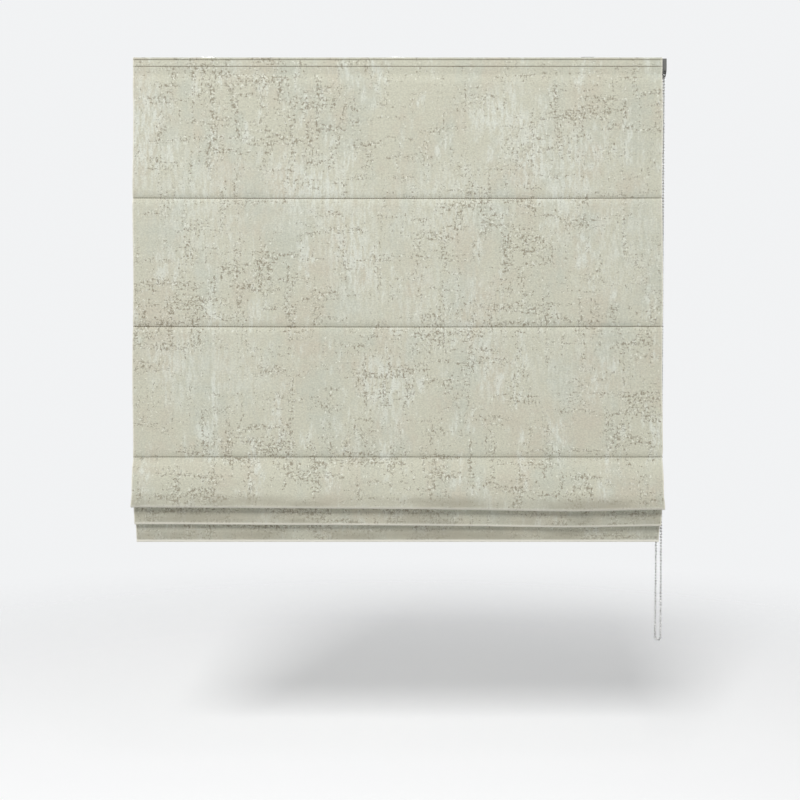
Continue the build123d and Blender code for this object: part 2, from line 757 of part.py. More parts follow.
for name, x in zip(bracket_names, bracket_x):
    with BuildPart() as bracket:
        with BuildSketch(Plane.XY):
            with Locations((x, 0)):
                RectangleRounded(bracket_width, bracket_depth, bracket_corner)
            with Locations((x - screw_spacing / 2, screw_row_y), (x + screw_spacing / 2, screw_row_y)):
                Circle(screw_hole_radius, mode=Mode.SUBTRACT)
        extrude(amount=-plate_thickness)
        with BuildSketch(Plane.XY.offset(-plate_thickness)):
            with Locations((x, hook_inner + plate_thickness / 2)):
                Rectangle(hook_width, plate_thickness)
        extrude(amount=cam_bottom + plate_thickness)
        with BuildSketch(Plane.XY.offset(cam_bottom)):
            with Locations((x, hook_inner - hook_reach / 2)):
                Rectangle(hook_width, hook_reach)
        extrude(amount=lever_thickness)
        with BuildSketch(Plane.XY.offset(-plate_thickness)):
            with Locations((x, lever_pivot_y)):
                Circle(rivet_radius)
        extrude(amount=plate_thickness / 2, mode=Mode.SUBTRACT)
    save(bracket, f"bracket_{name}")

    with BuildPart() as lever:
        with BuildSketch(Plane.XY.offset(hub_top)):
            with Locations((x, lever_pivot_y)):
                Circle(lever_hub_radius)
        extrude(amount=cam_bottom - hub_top)
        with BuildSketch(Plane.XY.offset(cam_top)):
            with Locations((x, lever_pivot_y + lever_reach / 2)):
                Rectangle(lever_width, lever_reach)
        extrude(amount=-lever_thickness)
        with BuildSketch(Plane.XY.offset(hub_top)):
            with Locations((x, lever_pivot_y + handle_reach / 2)):
                Rectangle(lever_width, handle_reach)
            with Locations((x, lever_pivot_y + handle_reach)):
                Circle(lever_width / 2)
        extrude(amount=-lever_thickness)
        with BuildSketch(Plane.XY.offset(hub_top)):
            with Locations((x, lever_pivot_y)):
                Circle(rivet_radius + rivet_clearance)
        extrude(amount=cam_bottom - hub_top, mode=Mode.SUBTRACT)
    save(lever, f"bracket_lever_{name}")

# --- lengths of cloth between the rods ------------------------------------------------------------------
below_3 = cloth_length([(face_centre, 0, 0), *fold_a_route, *fold_b_route[:2]], seam_drops[2], rod_4_drop)
below_4 = cloth_length([*fold_b_route, hem_route[0]], rod_4_drop, rod_5_drop)
print("cloth between rods 3 and 4", round(below_3, 1), "rods 4 and 5", round(below_4, 1))
print("rod 4 falls", round(below_3 - stack_pitch, 1), "rod 5 falls a further", round(below_4 - stack_pitch, 1))
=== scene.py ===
import bpy
import math
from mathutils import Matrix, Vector, noise


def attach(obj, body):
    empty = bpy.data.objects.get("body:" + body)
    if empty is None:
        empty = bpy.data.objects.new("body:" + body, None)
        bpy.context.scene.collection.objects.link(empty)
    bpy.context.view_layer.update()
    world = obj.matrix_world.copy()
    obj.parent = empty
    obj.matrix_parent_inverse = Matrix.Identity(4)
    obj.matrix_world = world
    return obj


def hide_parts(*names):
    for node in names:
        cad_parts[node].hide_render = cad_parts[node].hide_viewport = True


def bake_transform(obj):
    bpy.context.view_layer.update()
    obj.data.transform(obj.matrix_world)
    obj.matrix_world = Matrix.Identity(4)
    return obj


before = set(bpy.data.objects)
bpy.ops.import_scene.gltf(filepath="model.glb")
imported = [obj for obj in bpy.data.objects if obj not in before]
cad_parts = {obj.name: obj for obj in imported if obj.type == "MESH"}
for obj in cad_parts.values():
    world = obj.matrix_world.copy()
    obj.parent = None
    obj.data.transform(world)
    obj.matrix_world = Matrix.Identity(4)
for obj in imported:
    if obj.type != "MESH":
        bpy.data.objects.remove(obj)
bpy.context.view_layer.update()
mm = 0.001
print("frame loaded,", len(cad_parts), "pieces")

# the camera stands square in front of the blind, level with the lowest third of the cloth
view = {"place": (0.0036, -2.024, -0.6886), "lens": 45.0, "sensor": 36.0}

cameraData = bpy.data.cameras.new("roomCamera")
cameraData.lens = view["lens"]
cameraData.sensor_width = view["sensor"]
roomCamera = bpy.data.objects.new("roomCamera", cameraData)
roomCamera.location = view["place"]
roomCamera.rotation_euler = (math.radians(90), 0, 0)
bpy.context.collection.objects.link(roomCamera)
bpy.context.scene.camera = roomCamera
print("camera set")


# small makers used by every piece

def addMesh(name, points, faces, material, smooth=True):
    mesh = bpy.data.meshes.new(name)
    mesh.from_pydata(points, [], faces)
    mesh.update()
    mesh.polygons.foreach_set("use_smooth", [smooth] * len(mesh.polygons))
    mesh.materials.append(material)
    piece = bpy.data.objects.new(name, mesh)
    bpy.context.collection.objects.link(piece)
    return piece


def newFinish(name, colour, rough, metal=0.0):
    finish = bpy.data.materials.new(name)
    finish.use_nodes = True
    tree = finish.node_tree
    shader = tree.nodes["Principled BSDF"]
    shader.inputs["Base Color"].default_value = (*colour, 1)
    shader.inputs["Roughness"].default_value = rough
    shader.inputs["Metallic"].default_value = metal
    return finish, tree, shader


def inObject(tree, stretch=(1, 1, 1)):
    place = tree.nodes.new("ShaderNodeTexCoord")
    scaled = tree.nodes.new("ShaderNodeMapping")
    scaled.inputs["Scale"].default_value = stretch
    tree.links.new(place.outputs["Object"], scaled.inputs["Vector"])
    return scaled.outputs["Vector"]


def onCloth(tree, stretch=(1, 1, 1)):
    place = tree.nodes.new("ShaderNodeAttribute")
    place.attribute_name = "clothPlace"
    scaled = tree.nodes.new("ShaderNodeMapping")
    scaled.inputs["Scale"].default_value = stretch
    tree.links.new(place.outputs["Vector"], scaled.inputs["Vector"])
    return scaled.outputs["Vector"]


def grain(tree, where, scale, detail=2.0, rough=0.5):
    node = tree.nodes.new("ShaderNodeTexNoise")
    node.inputs["Scale"].default_value = scale
    node.inputs["Detail"].default_value = detail
    node.inputs["Roughness"].default_value = rough
    tree.links.new(where, node.inputs["Vector"])
    return node.outputs["Fac"]


def between(tree, value, low, high, first=0.0, last=1.0):
    node = tree.nodes.new("ShaderNodeMapRange")
    node.interpolation_type = "SMOOTHSTEP"
    node.inputs["From Min"].default_value = low
    node.inputs["From Max"].default_value = high
    node.inputs["To Min"].default_value = first
    node.inputs["To Max"].default_value = last
    tree.links.new(value, node.inputs["Value"])
    return node.outputs["Result"]


def combine(tree, how, one, two):
    node = tree.nodes.new("ShaderNodeMath")
    node.operation = how
    for socket, value in zip(node.inputs, (one, two)):
        if isinstance(value, (int, float)):
            socket.default_value = value
        else:
            tree.links.new(value, socket)
    return node.outputs[0]


def blendColour(tree, share, one, two, how="MIX"):
    node = tree.nodes.new("ShaderNodeMix")
    node.data_type = "RGBA"
    node.blend_type = how
    for name, value in (("Factor_Float", share), ("A_Color", one), ("B_Color", two)):
        socket = next(s for s in node.inputs if s.identifier == name)
        if isinstance(value, (int, float)):
            socket.default_value = value
        elif isinstance(value, tuple):
            socket.default_value = (*value, 1)
        else:
            tree.links.new(value, socket)
    return next(s for s in node.outputs if s.identifier == "Result_Color")


def relief(tree, shader, height, strength, distance):
    node = tree.nodes.new("ShaderNodeBump")
    node.inputs["Strength"].default_value = strength
    node.inputs["Distance"].default_value = distance
    tree.links.new(height, node.inputs["Height"])
    tree.links.new(node.outputs["Normal"], shader.inputs["Normal"])


def threads(tree, where, across, along):
    # over and under threads: two sets of ridges that take turns on top
    parts = []
    for axis, count in (("X", across), ("Y", along)):
        wave = tree.nodes.new("ShaderNodeTexWave")
        wave.bands_direction = axis
        wave.inputs["Scale"].default_value = count
        wave.inputs["Distortion"].default_value = 1.2
        wave.inputs["Detail"].default_value = 1.0
        tree.links.new(where, wave.inputs["Vector"])
        parts.append(wave.outputs["Fac"])
    return combine(tree, "MULTIPLY", *parts)


def shadeOf(*shades):
    # everyday 0 to 255 shades as the light values that a finish wants
    return tuple(((s / 255 + 0.055) / 1.055) ** 2.4 if s > 10 else s / 255 / 12.92 for s in shades)


# finishes of the hard parts

def mouldedFinish(name, colour, rough, bumpSize=900.0):
    finish, tree, shader = newFinish(name, colour, rough)
    where = inObject(tree)
    cloud = between(tree, grain(tree, where, 14.0, 3.0), 0.35, 0.7)
    dull = tuple(c * 0.9 for c in colour)
    tree.links.new(blendColour(tree, cloud, colour, dull), shader.inputs["Base Color"])
    tree.links.new(between(tree, grain(tree, where, 60.0, 4.0), 0.3, 0.7, rough - 0.06, rough + 0.1),
                   shader.inputs["Roughness"])
    relief(tree, shader, grain(tree, where, bumpSize, 2.0), 0.18, 0.0002)
    shader.inputs["Specular IOR Level"].default_value = 0.42
    return finish


def paintedFinish(name, colour):
    finish, tree, shader = newFinish(name, colour, 0.34)
    where = inObject(tree)
    gloss = between(tree, grain(tree, where, 90.0, 3.0), 0.3, 0.7, 0.28, 0.42)
    tree.links.new(gloss, shader.inputs["Roughness"])
    faint = between(tree, grain(tree, inObject(tree, (0.5, 1, 1)), 9.0, 3.0), 0.3, 0.75)
    tone = blendColour(tree, faint, colour, tuple(c * 0.94 for c in colour))
    tree.links.new(tone, shader.inputs["Base Color"])
    relief(tree, shader, grain(tree, where, 520.0, 3.0, 0.6), 0.12, 0.0002)  # orange peel of the powder coat
    shader.inputs["Coat Weight"].default_value = 0.15
    return finish


def metalFinish(name, colour, rough, brushed):
    finish, tree, shader = newFinish(name, colour, rough, 1.0)
    lines = grain(tree, inObject(tree, brushed), 60.0, 4.0, 0.65)
    spots = between(tree, grain(tree, inObject(tree), 220.0, 2.0), 0.42, 0.62)
    tone = blendColour(tree, lines, tuple(c * 0.82 for c in colour), colour)
    tone = blendColour(tree, combine(tree, "MULTIPLY", spots, 0.3), tone, tuple(c * 1.12 for c in colour))
    tree.links.new(tone, shader.inputs["Base Color"])
    tree.links.new(between(tree, lines, 0.3, 0.7, rough - 0.08, rough + 0.12), shader.inputs["Roughness"])
    relief(tree, shader, lines, 0.1, 0.0001)
    return finish


def clearFinish(name, colour):
    finish, tree, shader = newFinish(name, colour, 0.12)
    shader.inputs["Transmission Weight"].default_value = 0.55
    shader.inputs["IOR"].default_value = 1.49
    where = inObject(tree)
    gloss = between(tree, grain(tree, where, 120.0, 3.0), 0.3, 0.7, 0.08, 0.24)
    tree.links.new(gloss, shader.inputs["Roughness"])
    relief(tree, shader, grain(tree, where, 300.0, 2.0), 0.08, 0.0002)
    return finish


railPaint = paintedFinish("railPaint", (0.86, 0.86, 0.84))
whiteMoulding = mouldedFinish("whiteMoulding", (0.80, 0.80, 0.77), 0.42)
greyMoulding = mouldedFinish("greyMoulding", (0.17, 0.17, 0.16), 0.48)
zincSteel = metalFinish("zincSteel", (0.62, 0.63, 0.64), 0.34, (1, 8, 1))
chainNickel = metalFinish("chainNickel", (0.62, 0.62, 0.61), 0.24, (1, 1, 1))
springSteel = metalFinish("springSteel", (0.32, 0.32, 0.33), 0.36, (1, 1, 6))
barAluminium = metalFinish("barAluminium", (0.72, 0.72, 0.73), 0.32, (0.2, 9, 9))
clearMoulding = clearFinish("clearMoulding", (0.86, 0.88, 0.88))
rodGlassFibre = mouldedFinish("rodGlassFibre", (0.74, 0.73, 0.66), 0.3, 400.0)


def clothFinish(name, colour, threadCount, rough, fuzz):
    # plain woven textile: threads, slubs and a soft sheen
    finish, tree, shader = newFinish(name, colour, rough)
    where = inObject(tree)
    slubs = grain(tree, inObject(tree, (0.12, 1, 1)), 700.0, 2.0)
    cloud = grain(tree, where, 8.0, 3.0)
    tone = blendColour(tree, between(tree, cloud, 0.3, 0.75), colour, tuple(c * 0.9 for c in colour))
    tone = blendColour(tree, between(tree, slubs, 0.52, 0.72, 0.0, 0.4), tone, tuple(c * 0.8 for c in colour))
    tree.links.new(tone, shader.inputs["Base Color"])
    weave = threads(tree, where, threadCount, threadCount)
    relief(tree, shader, combine(tree, "ADD", weave, combine(tree, "MULTIPLY", slubs, 0.8)), 0.3, 0.0002)
    shader.inputs["Sheen Weight"].default_value = fuzz
    shader.inputs["Sheen Roughness"].default_value = 0.5
    return finish


liningCloth = clothFinish("liningCloth", shadeOf(232, 228, 212), 260.0, 0.82, 0.2)
tapeCloth = clothFinish("tapeCloth", shadeOf(238, 236, 226), 320.0, 0.8, 0.15)
hookPile = clothFinish("hookPile", shadeOf(228, 228, 222), 620.0, 0.7, 0.1)
loopPile = clothFinish("loopPile", shadeOf(234, 233, 224), 420.0, 0.92, 0.5)
cordBraid = clothFinish("cordBraid", shadeOf(240, 239, 233), 900.0, 0.7, 0.2)
seamThread = clothFinish("seamThread", shadeOf(78, 71, 56), 900.0, 0.8, 0.05)
hemThread = clothFinish("hemThread", shadeOf(176, 171, 150), 900.0, 0.75, 0.1)
print("plain finishes made")

# the printed face cloth: soft fields of colour, patches of bloom and clusters of fine broken specks
# each patch is (x, distance down the cloth, half width, half height, strength) in metres
# worn and pressed are the painted highlight and the painted shade band at each nose, as (above it, near,
# away, strength)
# sides is the painted highlight along the side edges, as (middle, near, away, strength); pinch is the painted
# shade along a sewn line, as (near, away, strength)
printedCloth = {
    "ground": shadeOf(203, 202, 184),
    "warm": shadeOf(201, 196, 178),
    "cool": shadeOf(197, 199, 184),
    "bloom": shadeOf(222, 225, 215),
    "speck": shadeOf(144, 136, 117),
    "shade": shadeOf(164, 160, 143),
    "fleck": shadeOf(232, 233, 222),
    # the colour of the painted highlight at the fold noses and the side edges
    "paintedHighlight": shadeOf(238, 235, 222),
    # the colour of the painted shade along the sewn lines
    "groove": shadeOf(128, 122, 100),
    "blooms": [
        (-0.17, 0.27, 0.09, 0.07, 1.0), (-0.09, 0.40, 0.06, 0.10, 0.9), (-0.02, 0.66, 0.06, 0.07, 0.9),
        (0.20, 0.12, 0.07, 0.05, 0.9), (0.27, 0.19, 0.07, 0.08, 0.9), (-0.51, 0.16, 0.05, 0.12, 0.9),
        (-0.40, 0.30, 0.10, 0.13, 0.6), (0.44, 0.36, 0.10, 0.12, 0.5), (0.08, 0.50, 0.14, 0.08, 0.5),
        (-0.33, 0.62, 0.10, 0.10, 0.45), (0.36, 0.62, 0.12, 0.10, 0.4), (0.10, 0.30, 0.12, 0.08, 0.6),
        (0.34, 0.24, 0.05, 0.12, 0.8), (0.17, 0.60, 0.05, 0.08, 0.7), (-0.44, 0.62, 0.05, 0.07, 0.7),
    ],
    "speckles": [
        (-0.32, 0.06, 0.12, 0.05, 1.0), (-0.18, 0.13, 0.09, 0.07, 1.0), (-0.36, 0.14, 0.08, 0.07, 0.9),
        (-0.04, 0.64, 0.08, 0.06, 1.0), (-0.45, 0.50, 0.09, 0.08, 0.9), (0.16, 0.54, 0.12, 0.08, 0.8),
        (0.40, 0.10, 0.12, 0.06, 0.7), (-0.22, 0.80, 0.16, 0.05, 0.9), (0.30, 0.86, 0.16, 0.05, 0.7),
        (-0.40, 0.90, 0.12, 0.06, 0.9), (-0.16, 1.10, 0.16, 0.09, 1.0), (-0.42, 1.14, 0.12, 0.09, 1.0),
        (0.20, 0.34, 0.14, 0.10, 0.7), (-0.28, 0.44, 0.12, 0.06, 0.7), (0.05, 0.80, 0.10, 0.05, 0.9),
        (0.02, 1.11, 0.14, 0.03, 0.9), (0.42, 1.10, 0.10, 0.03, 1.0), (-0.30, 1.34, 0.16, 0.03, 0.9),
        (0.06, 1.34, 0.10, 0.03, 0.8), (0.40, 1.34, 0.12, 0.03, 0.9), (0.47, 0.66, 0.05, 0.12, 0.8),
    ],
    # painted highlight bands at the three noses
    "noseHighlights": [(0.0022, 0.0020, 0.0078, 0.75), (0.0020, 0.0020, 0.0062, 0.85), (0.0022, 0.0022, 0.0052, 1.0)],
    # painted shade band just above each nose
    "noseShadeBand": (0.0150, 0.0010, 0.0230, 0.75),
    # painted highlight along both side edges
    "sides": (-0.001, 0.5262, 0.5285, 0.7),
    # painted shade along each sewn line
    "pinch": (0.0004, 0.0016, 0.5),
    "spread": 1.7,
}


def patchField(tree, where, patches):
    total = None
    for x, down, wide, high, strength in patches:
        shift = tree.nodes.new("ShaderNodeMapping")
        shift.vector_type = "TEXTURE"
        shift.inputs["Location"].default_value = (x, down, 0)
        spread = printedCloth["spread"]
        shift.inputs["Scale"].default_value = (wide * spread, high * spread, 1)
        tree.links.new(where, shift.inputs["Vector"])
        reach = tree.nodes.new("ShaderNodeVectorMath")
        reach.operation = "LENGTH"
        tree.links.new(shift.outputs["Vector"], reach.inputs[0])
        patch = between(tree, reach.outputs["Value"], 0.1, 1.0, strength, 0.0)
        total = patch if total is None else combine(tree, "MAXIMUM", total, patch)
    return total


def printedFinish(noses, rows):
    # noses and rows are distances down the cloth, of the turns that get a painted highlight and a painted
    # shade band, and of the sewn lines that get a painted shade
    p = printedCloth
    finish, tree, shader = newFinish("printedCloth", p["ground"], 0.74)
    flat = onCloth(tree)
    wobble = tree.nodes.new("ShaderNodeTexNoise")
    wobble.inputs["Scale"].default_value = 11.0
    wobble.inputs["Detail"].default_value = 5.0
    tree.links.new(flat, wobble.inputs["Vector"])
    away = tree.nodes.new("ShaderNodeVectorMath")
    away.operation = "MULTIPLY_ADD"
    away.inputs[1].default_value = (0.16, 0.16, 0)
    away.inputs[2].default_value = (-0.08, -0.08, 0)
    tree.links.new(wobble.outputs["Color"], away.inputs[0])
    torn = tree.nodes.new("ShaderNodeVectorMath")
    torn.operation = "ADD"
    tree.links.new(flat, torn.inputs[0])
    tree.links.new(away.outputs["Vector"], torn.inputs[1])
    ragged = torn.outputs["Vector"]

    # ground colour drifts between a warm and a cool stone, in soft upright and level fields
    warm = between(tree, grain(tree, onCloth(tree, (1, 0.7, 1)), 9.0, 5.0, 0.62), 0.45, 0.60, 0.0, 0.9)
    cool = between(tree, grain(tree, onCloth(tree, (1, 0.45, 1)), 11.0, 5.0, 0.62), 0.47, 0.62, 0.0, 0.9)
    tone = blendColour(tree, warm, p["ground"], p["warm"])
    tone = blendColour(tree, cool, tone, p["cool"])
    level = between(tree, grain(tree, onCloth(tree, (0.5, 1.6, 1)), 22.0, 5.0, 0.7), 0.40, 0.62, 0.0, 0.5)
    tone = blendColour(tree, level, tone, p["ground"])

    # pale bloom, brushed on in short upright strokes
    bloom = patchField(tree, ragged, p["blooms"])
    strokes = between(tree, grain(tree, onCloth(tree, (1.3, 0.3, 1)), 95.0, 5.0, 0.75), 0.42, 0.58)
    drifts = between(tree, grain(tree, onCloth(tree, (1.2, 0.45, 1)), 19.0, 5.0, 0.7), 0.51, 0.63, 0.0, 0.85)
    bloomShare = combine(tree, "MULTIPLY", combine(tree, "MAXIMUM", bloom, drifts), strokes)
    tone = blendColour(tree, combine(tree, "MULTIPLY", bloomShare, 0.8), tone, p["bloom"])

    # broken specks, gathered in clusters and drawn out along the threads
    clusters = patchField(tree, ragged, p["speckles"])
    levelRun = grain(tree, onCloth(tree, (0.3, 1.3, 1)), 30.0, 4.0, 0.7)
    uprightRun = grain(tree, onCloth(tree, (1.4, 0.3, 1)), 28.0, 4.0, 0.7)
    scatter = between(tree, combine(tree, "MAXIMUM", levelRun, uprightRun), 0.43, 0.64)
    gathered = combine(tree, "ADD", combine(tree, "MULTIPLY", clusters, 0.35),
                       combine(tree, "MULTIPLY", scatter, 0.75))
    dashes = grain(tree, onCloth(tree, (0.55, 1, 1)), 235.0, 3.0, 0.75)
    ticks = grain(tree, onCloth(tree, (1, 0.5, 1)), 225.0, 3.0, 0.75)
    limit = between(tree, gathered, 0.0, 1.0, 0.69, 0.52)
    specks = combine(tree, "SUBTRACT", combine(tree, "MAXIMUM", dashes, ticks), limit)
    speckShare = between(tree, specks, 0.0, 0.07, 0.0, 0.82)
    tone = blendColour(tree, speckShare, tone, p["speck"])

    # tiny pale flecks where the ink has missed, mostly round the specks
    missed = grain(tree, onCloth(tree, (1, 0.7, 1)), 210.0, 3.0, 0.75)
    edge = between(tree, gathered, 0.0, 1.0, 0.66, 0.54)
    flecks = between(tree, combine(tree, "SUBTRACT", missed, edge), 0.0, 0.05, 0.0, 0.7)
    unspecked = combine(tree, "SUBTRACT", 1.0, speckShare)
    tone = blendColour(tree, combine(tree, "MULTIPLY", flecks, unspecked), tone, p["fleck"])

    # a fine dry grain all over
    dry = between(tree, grain(tree, onCloth(tree, (0.8, 1, 1)), 330.0, 2.0, 0.6), 0.35, 0.65, 0.93, 1.07)
    tone = blendColour(tree, 1.0, tone, dry, "MULTIPLY")

    # painted highlight where the cloth turns at the bottom of each fold, with a painted shade band just above
    # it
    down = tree.nodes.new("ShaderNodeSeparateXYZ")
    tree.links.new(flat, down.inputs["Vector"])
    uneven = between(tree, grain(tree, onCloth(tree, (0.4, 1, 1)), 16.0, 4.0), 0.35, 0.62, 0.35, 1.0)
    for place, (above, near, away, strength) in zip(noses, p["noseHighlights"]):
        # painted shade band just above the nose, uneven across the width
        lift, close, wide, shade = p["noseShadeBand"]
        band = combine(tree, "ABSOLUTE", combine(tree, "SUBTRACT", down.outputs["Y"], place - lift), 0.0)
        shadow = combine(tree, "MULTIPLY", between(tree, band, close, wide, shade, 0.0), uneven)
        tone = blendColour(tree, shadow, tone, p["shade"])
        # painted highlight along the nose
        far = combine(tree, "ABSOLUTE", combine(tree, "SUBTRACT", down.outputs["Y"], place - above), 0.0)
        tone = blendColour(tree, between(tree, far, near, away, strength, 0.0), tone, p["paintedHighlight"])
    # painted highlight along both side edges of the cloth
    middle, near, away, strength = p["sides"]
    across = combine(tree, "ABSOLUTE", combine(tree, "SUBTRACT", down.outputs["X"], middle), 0.0)
    tone = blendColour(tree, between(tree, across, near, away, 0.0, strength), tone, p["paintedHighlight"])
    # and painted shade in the groove that each sewn line pulls
    near, away, strength = p["pinch"]
    for place in rows:
        far = combine(tree, "ABSOLUTE", combine(tree, "SUBTRACT", down.outputs["Y"], place), 0.0)
        tone = blendColour(tree, between(tree, far, near, away, strength, 0.0), tone, p["groove"])
    tree.links.new(tone, shader.inputs["Base Color"])

    weave = threads(tree, flat, 240.0, 240.0)
    slubs = grain(tree, onCloth(tree, (0.08, 1, 1)), 600.0, 2.0)
    height = combine(tree, "ADD", weave, slubs)
    height = combine(tree, "SUBTRACT", height, combine(tree, "MULTIPLY", speckShare, 0.6))
    relief(tree, shader, height, 0.35, 0.0003)
    tree.links.new(between(tree, bloomShare, 0.0, 1.0, 0.78, 0.6), shader.inputs["Roughness"])
    shader.inputs["Sheen Weight"].default_value = 0.18
    shader.inputs["Sheen Roughness"].default_value = 0.45
    shader.inputs["Specular IOR Level"].default_value = 0.3
    return finish


# the bead chain: two long hanging runs joined by a loop, from the front mouth of the drive to the back
beadChain = {
    "route": [
        (534.0, -13.48, -39.2),
        (531.53, 3.72, -1163.6),
        (531.5, 3.9, -1175.6),
        (522.8, 12.1, -1175.6),
        (522.92, 12.12, -1163.6),
        (534.0, 13.48, -39.2),
    ],
    "pitch": 6.0, "bead": 2.25, "string": 0.55, "length": 2.27,
    "wheel": (534.0, 0.0, -21.2), "wheelRadius": 13.48, "pockets": 14, "wrapped": 8,
    "below": 3, "belowPitch": 5.8, "rings": 7, "sides": 10, "slope": 78,
}


def splinePoints(route):
    # a smooth NURBS line through the route, read back as points
    data = bpy.data.curves.new("chainLine", "CURVE")
    data.dimensions = "3D"
    line = data.splines.new("NURBS")
    line.points.add(len(route) - 1)
    for point, corner in zip(line.points, route):
        point.co = (corner[0] * mm, corner[1] * mm, corner[2] * mm, 1)
    line.order_u = 3
    line.use_endpoint_u = True
    line.resolution_u = 64
    helper = bpy.data.objects.new("chainLine", data)
    bpy.context.collection.objects.link(helper)
    found = bpy.data.meshes.new_from_object(helper)
    points = [v.co.copy() for v in found.vertices]
    bpy.data.objects.remove(helper)
    return points


def evenly(points, step):
    # places a fixed step apart along a line, with the direction at each
    places, travelled, due = [], 0.0, step / 2
    for a, b in zip(points, points[1:]):
        run = (b - a).length
        while due <= travelled + run:
            places.append((a.lerp(b, (due - travelled) / run), (b - a).normalized()))
            due += step
        travelled += run
    return places


def beadMesh(name, places, bead, string, material):
    points, faces = [], []
    rings, sides, slope = beadChain["rings"], beadChain["sides"], beadChain["slope"]
    for middle, way in places:
        side = way.cross(Vector((0.3, 1, 0.2))).normalized()
        up = way.cross(side)
        half = 0.5 * beadChain["pitch"] * mm
        profile = [(-half, string)]
        for i in range(rings):
            angle = math.radians(-slope + 2 * slope * i / (rings - 1))
            profile.append((bead * math.sin(angle), bead * math.cos(angle)))
        profile.append((half, string))
        first = len(points)
        for along, radius in profile:
            for k in range(sides):
                turn = 2 * math.pi * k / sides
                outward = side * radius * math.cos(turn) + up * radius * math.sin(turn)
                points.append(middle + way * along + outward)
        for r in range(len(profile) - 1):
            for k in range(sides):
                a = first + r * sides + k
                b = first + r * sides + (k + 1) % sides
                faces.append((a, b, b + sides, a + sides))
        faces.append([first + k for k in range(sides)][::-1])
        faces.append([first + (len(profile) - 1) * sides + k for k in range(sides)])
    return addMesh(name, points, faces, material)


chainLine = splinePoints(beadChain["route"])
hangingChain = beadMesh("bead_chain_loop", evenly(chainLine, beadChain["pitch"] * mm), beadChain["bead"] * mm,
                        beadChain["string"] * mm, chainNickel)
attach(hangingChain, "headrail")
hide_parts("bead_chain")

wrapPlaces = []
hub = Vector(beadChain["wheel"]) * mm
reach = beadChain["wheelRadius"] * mm
for pocket in range(beadChain["wrapped"]):
    angle = math.pi * 2 * pocket / beadChain["pockets"]
    wrapPlaces.append((hub + Vector((0, reach * math.cos(angle), reach * math.sin(angle))),
                       Vector((0, -math.sin(angle), math.cos(angle)))))
for side in (-1, 1):
    for i in range(beadChain["below"]):
        drop = (i + 0.5) * beadChain["belowPitch"] * mm
        wrapPlaces.append((hub + Vector((0, side * reach, -drop)), Vector((0, 0, 1))))
wrappedChain = beadMesh("bead_chain_on_wheel", wrapPlaces, beadChain["bead"] * mm, beadChain["string"] * mm,
                        chainNickel)
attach(wrappedChain, "headrail")
runLength = sum((b - a).length for a, b in zip(chainLine, chainLine[1:]))
print("bead chain hung,", round(runLength, 3), "m")

# the cloth hangs in one plane, and gathers into fold A at rod 4 and fold B at rod 5
# plane and leg are places toward the window, turn is the bend at a rod, and the rest are drops, all in mm
folds = {
    "plane": -23.6, "leg": -26.2, "turn": 1.25, "turnFour": 818.0, "turnFive": 842.0,
    "noseA": 903.0, "noseB": 938.0, "hem": 973.0,
}
f = folds

# one route seen from the end, as (toward the window, drop, turn radius)
# a zone is (first drop, full from, full to, last drop) of a way in which the hung cloth strays
cloth = {
    "left": -530.0, "right": 528.0, "face": 0.74, "lining": 0.4, "liningInset": 6.0, "apart": 0.9,
    "rim": 0.22, "liningRim": 0.05, "top": -3.6, "step": 7.0, "columns": 92,
    "passes": (1.0, 12.0), "returns": 4.0,
    "turnover": [(-23.85, 19.0, 0), (-23.85, 0.45, 0.46), (-24.8, 0.45, 0.46), (-24.8, 20.2, 2.0),
                 (f["plane"], 32.0, 20.0)],
    "liningTop": [(f["plane"], 1.0, 0)],
    "foldA": [(f["plane"], 803.0, 20.0), (-29.3, 817.5, 30.0), (-34.5, 841.0, 60.0),
              (-36.6, f["noseA"], 5.63), (-23.8, f["noseA"], 5.63), (-31.6, 850.0, 20.0),
              (-31.5, 841.0, 20.0), (f["leg"], 824.0, 8.0), (f["leg"], f["turnFour"], f["turn"])],
    "foldB": [(f["plane"], f["turnFour"], f["turn"]), (f["plane"], 827.0, 10.0), (-28.9, 841.0, 10.0),
              (-28.9, 853.0, 40.0), (-14.8, f["noseB"], 3.96), (-5.8, f["noseB"], 3.96),
              (f["leg"], 853.0, 20.0), (f["leg"], f["turnFive"], f["turn"]),
              (f["plane"], f["turnFive"], f["turn"])],
    "hem": [(f["plane"], 852.0, 20.0), (4.5, f["hem"], 1.98), (8.79, 972.0, 1.98), (0.64, 936.9, 0)],
    "liningEnd": [(f["plane"], 852.0, 20.0), (-2.3, 944.0, 0)],
    "seams": [281.0, 538.0, 799.0], "lowSeams": [823.0, 847.0], "header": [4.6, 18.0], "headerFront": -24.8,
    "pinch": 0.3, "pinchWidth": 1.0, "puff": 1.9, "puffWidth": 5.0,
    "panelWave": 1.1, "waveSize": (260, 190, 3.1), "flatZone": (34, 50, 796, 800),
    "ripple": 2.0, "rippleLong": (61, 1.7, 173), "loopZone": (846, 892, 925, 966),
    "sag": [(-530, 4.0), (-230, 2.6), (0, 0.9), (343, -3.6), (528, -0.4)],
    "dip": 1.0, "dipZone": (60, 200, 760, 800),
    "lean": 0.8, "leanSize": (90, 260, 8.4), "leanShift": 0.4, "leanZone": (40, 160, 780, 800),
    "flare": 2.2, "flareReach": 40, "flareEdge": (-490, 488), "noseZone": (872, 900, 908, 925),
    "edgeWave": 0.7, "edgeLong": 57.0, "edgeReach": (470, 529), "edgeZone": (60, 120, 780, 799),
}


def smooth(value, low, high):
    t = min(max((value - low) / (high - low), 0), 1)
    return t * t * (3 - 2 * t)


def sagAt(x):
    knots = cloth["sag"]
    for (x1, s1), (x2, s2) in zip(knots, knots[1:]):
        if x <= x2:
            return s1 + (s2 - s1) * smooth(x, x1, x2)
    return knots[-1][1]


def within(drop, zone):
    # 1 inside the zone, easing to 0 at both of its ends
    return smooth(drop, zone[0], zone[1]) * (1 - smooth(drop, zone[2], zone[3]))


def drift(x, drop, size):
    across, down, seed = size
    return noise.noise(Vector((x / across, drop / down, seed)))


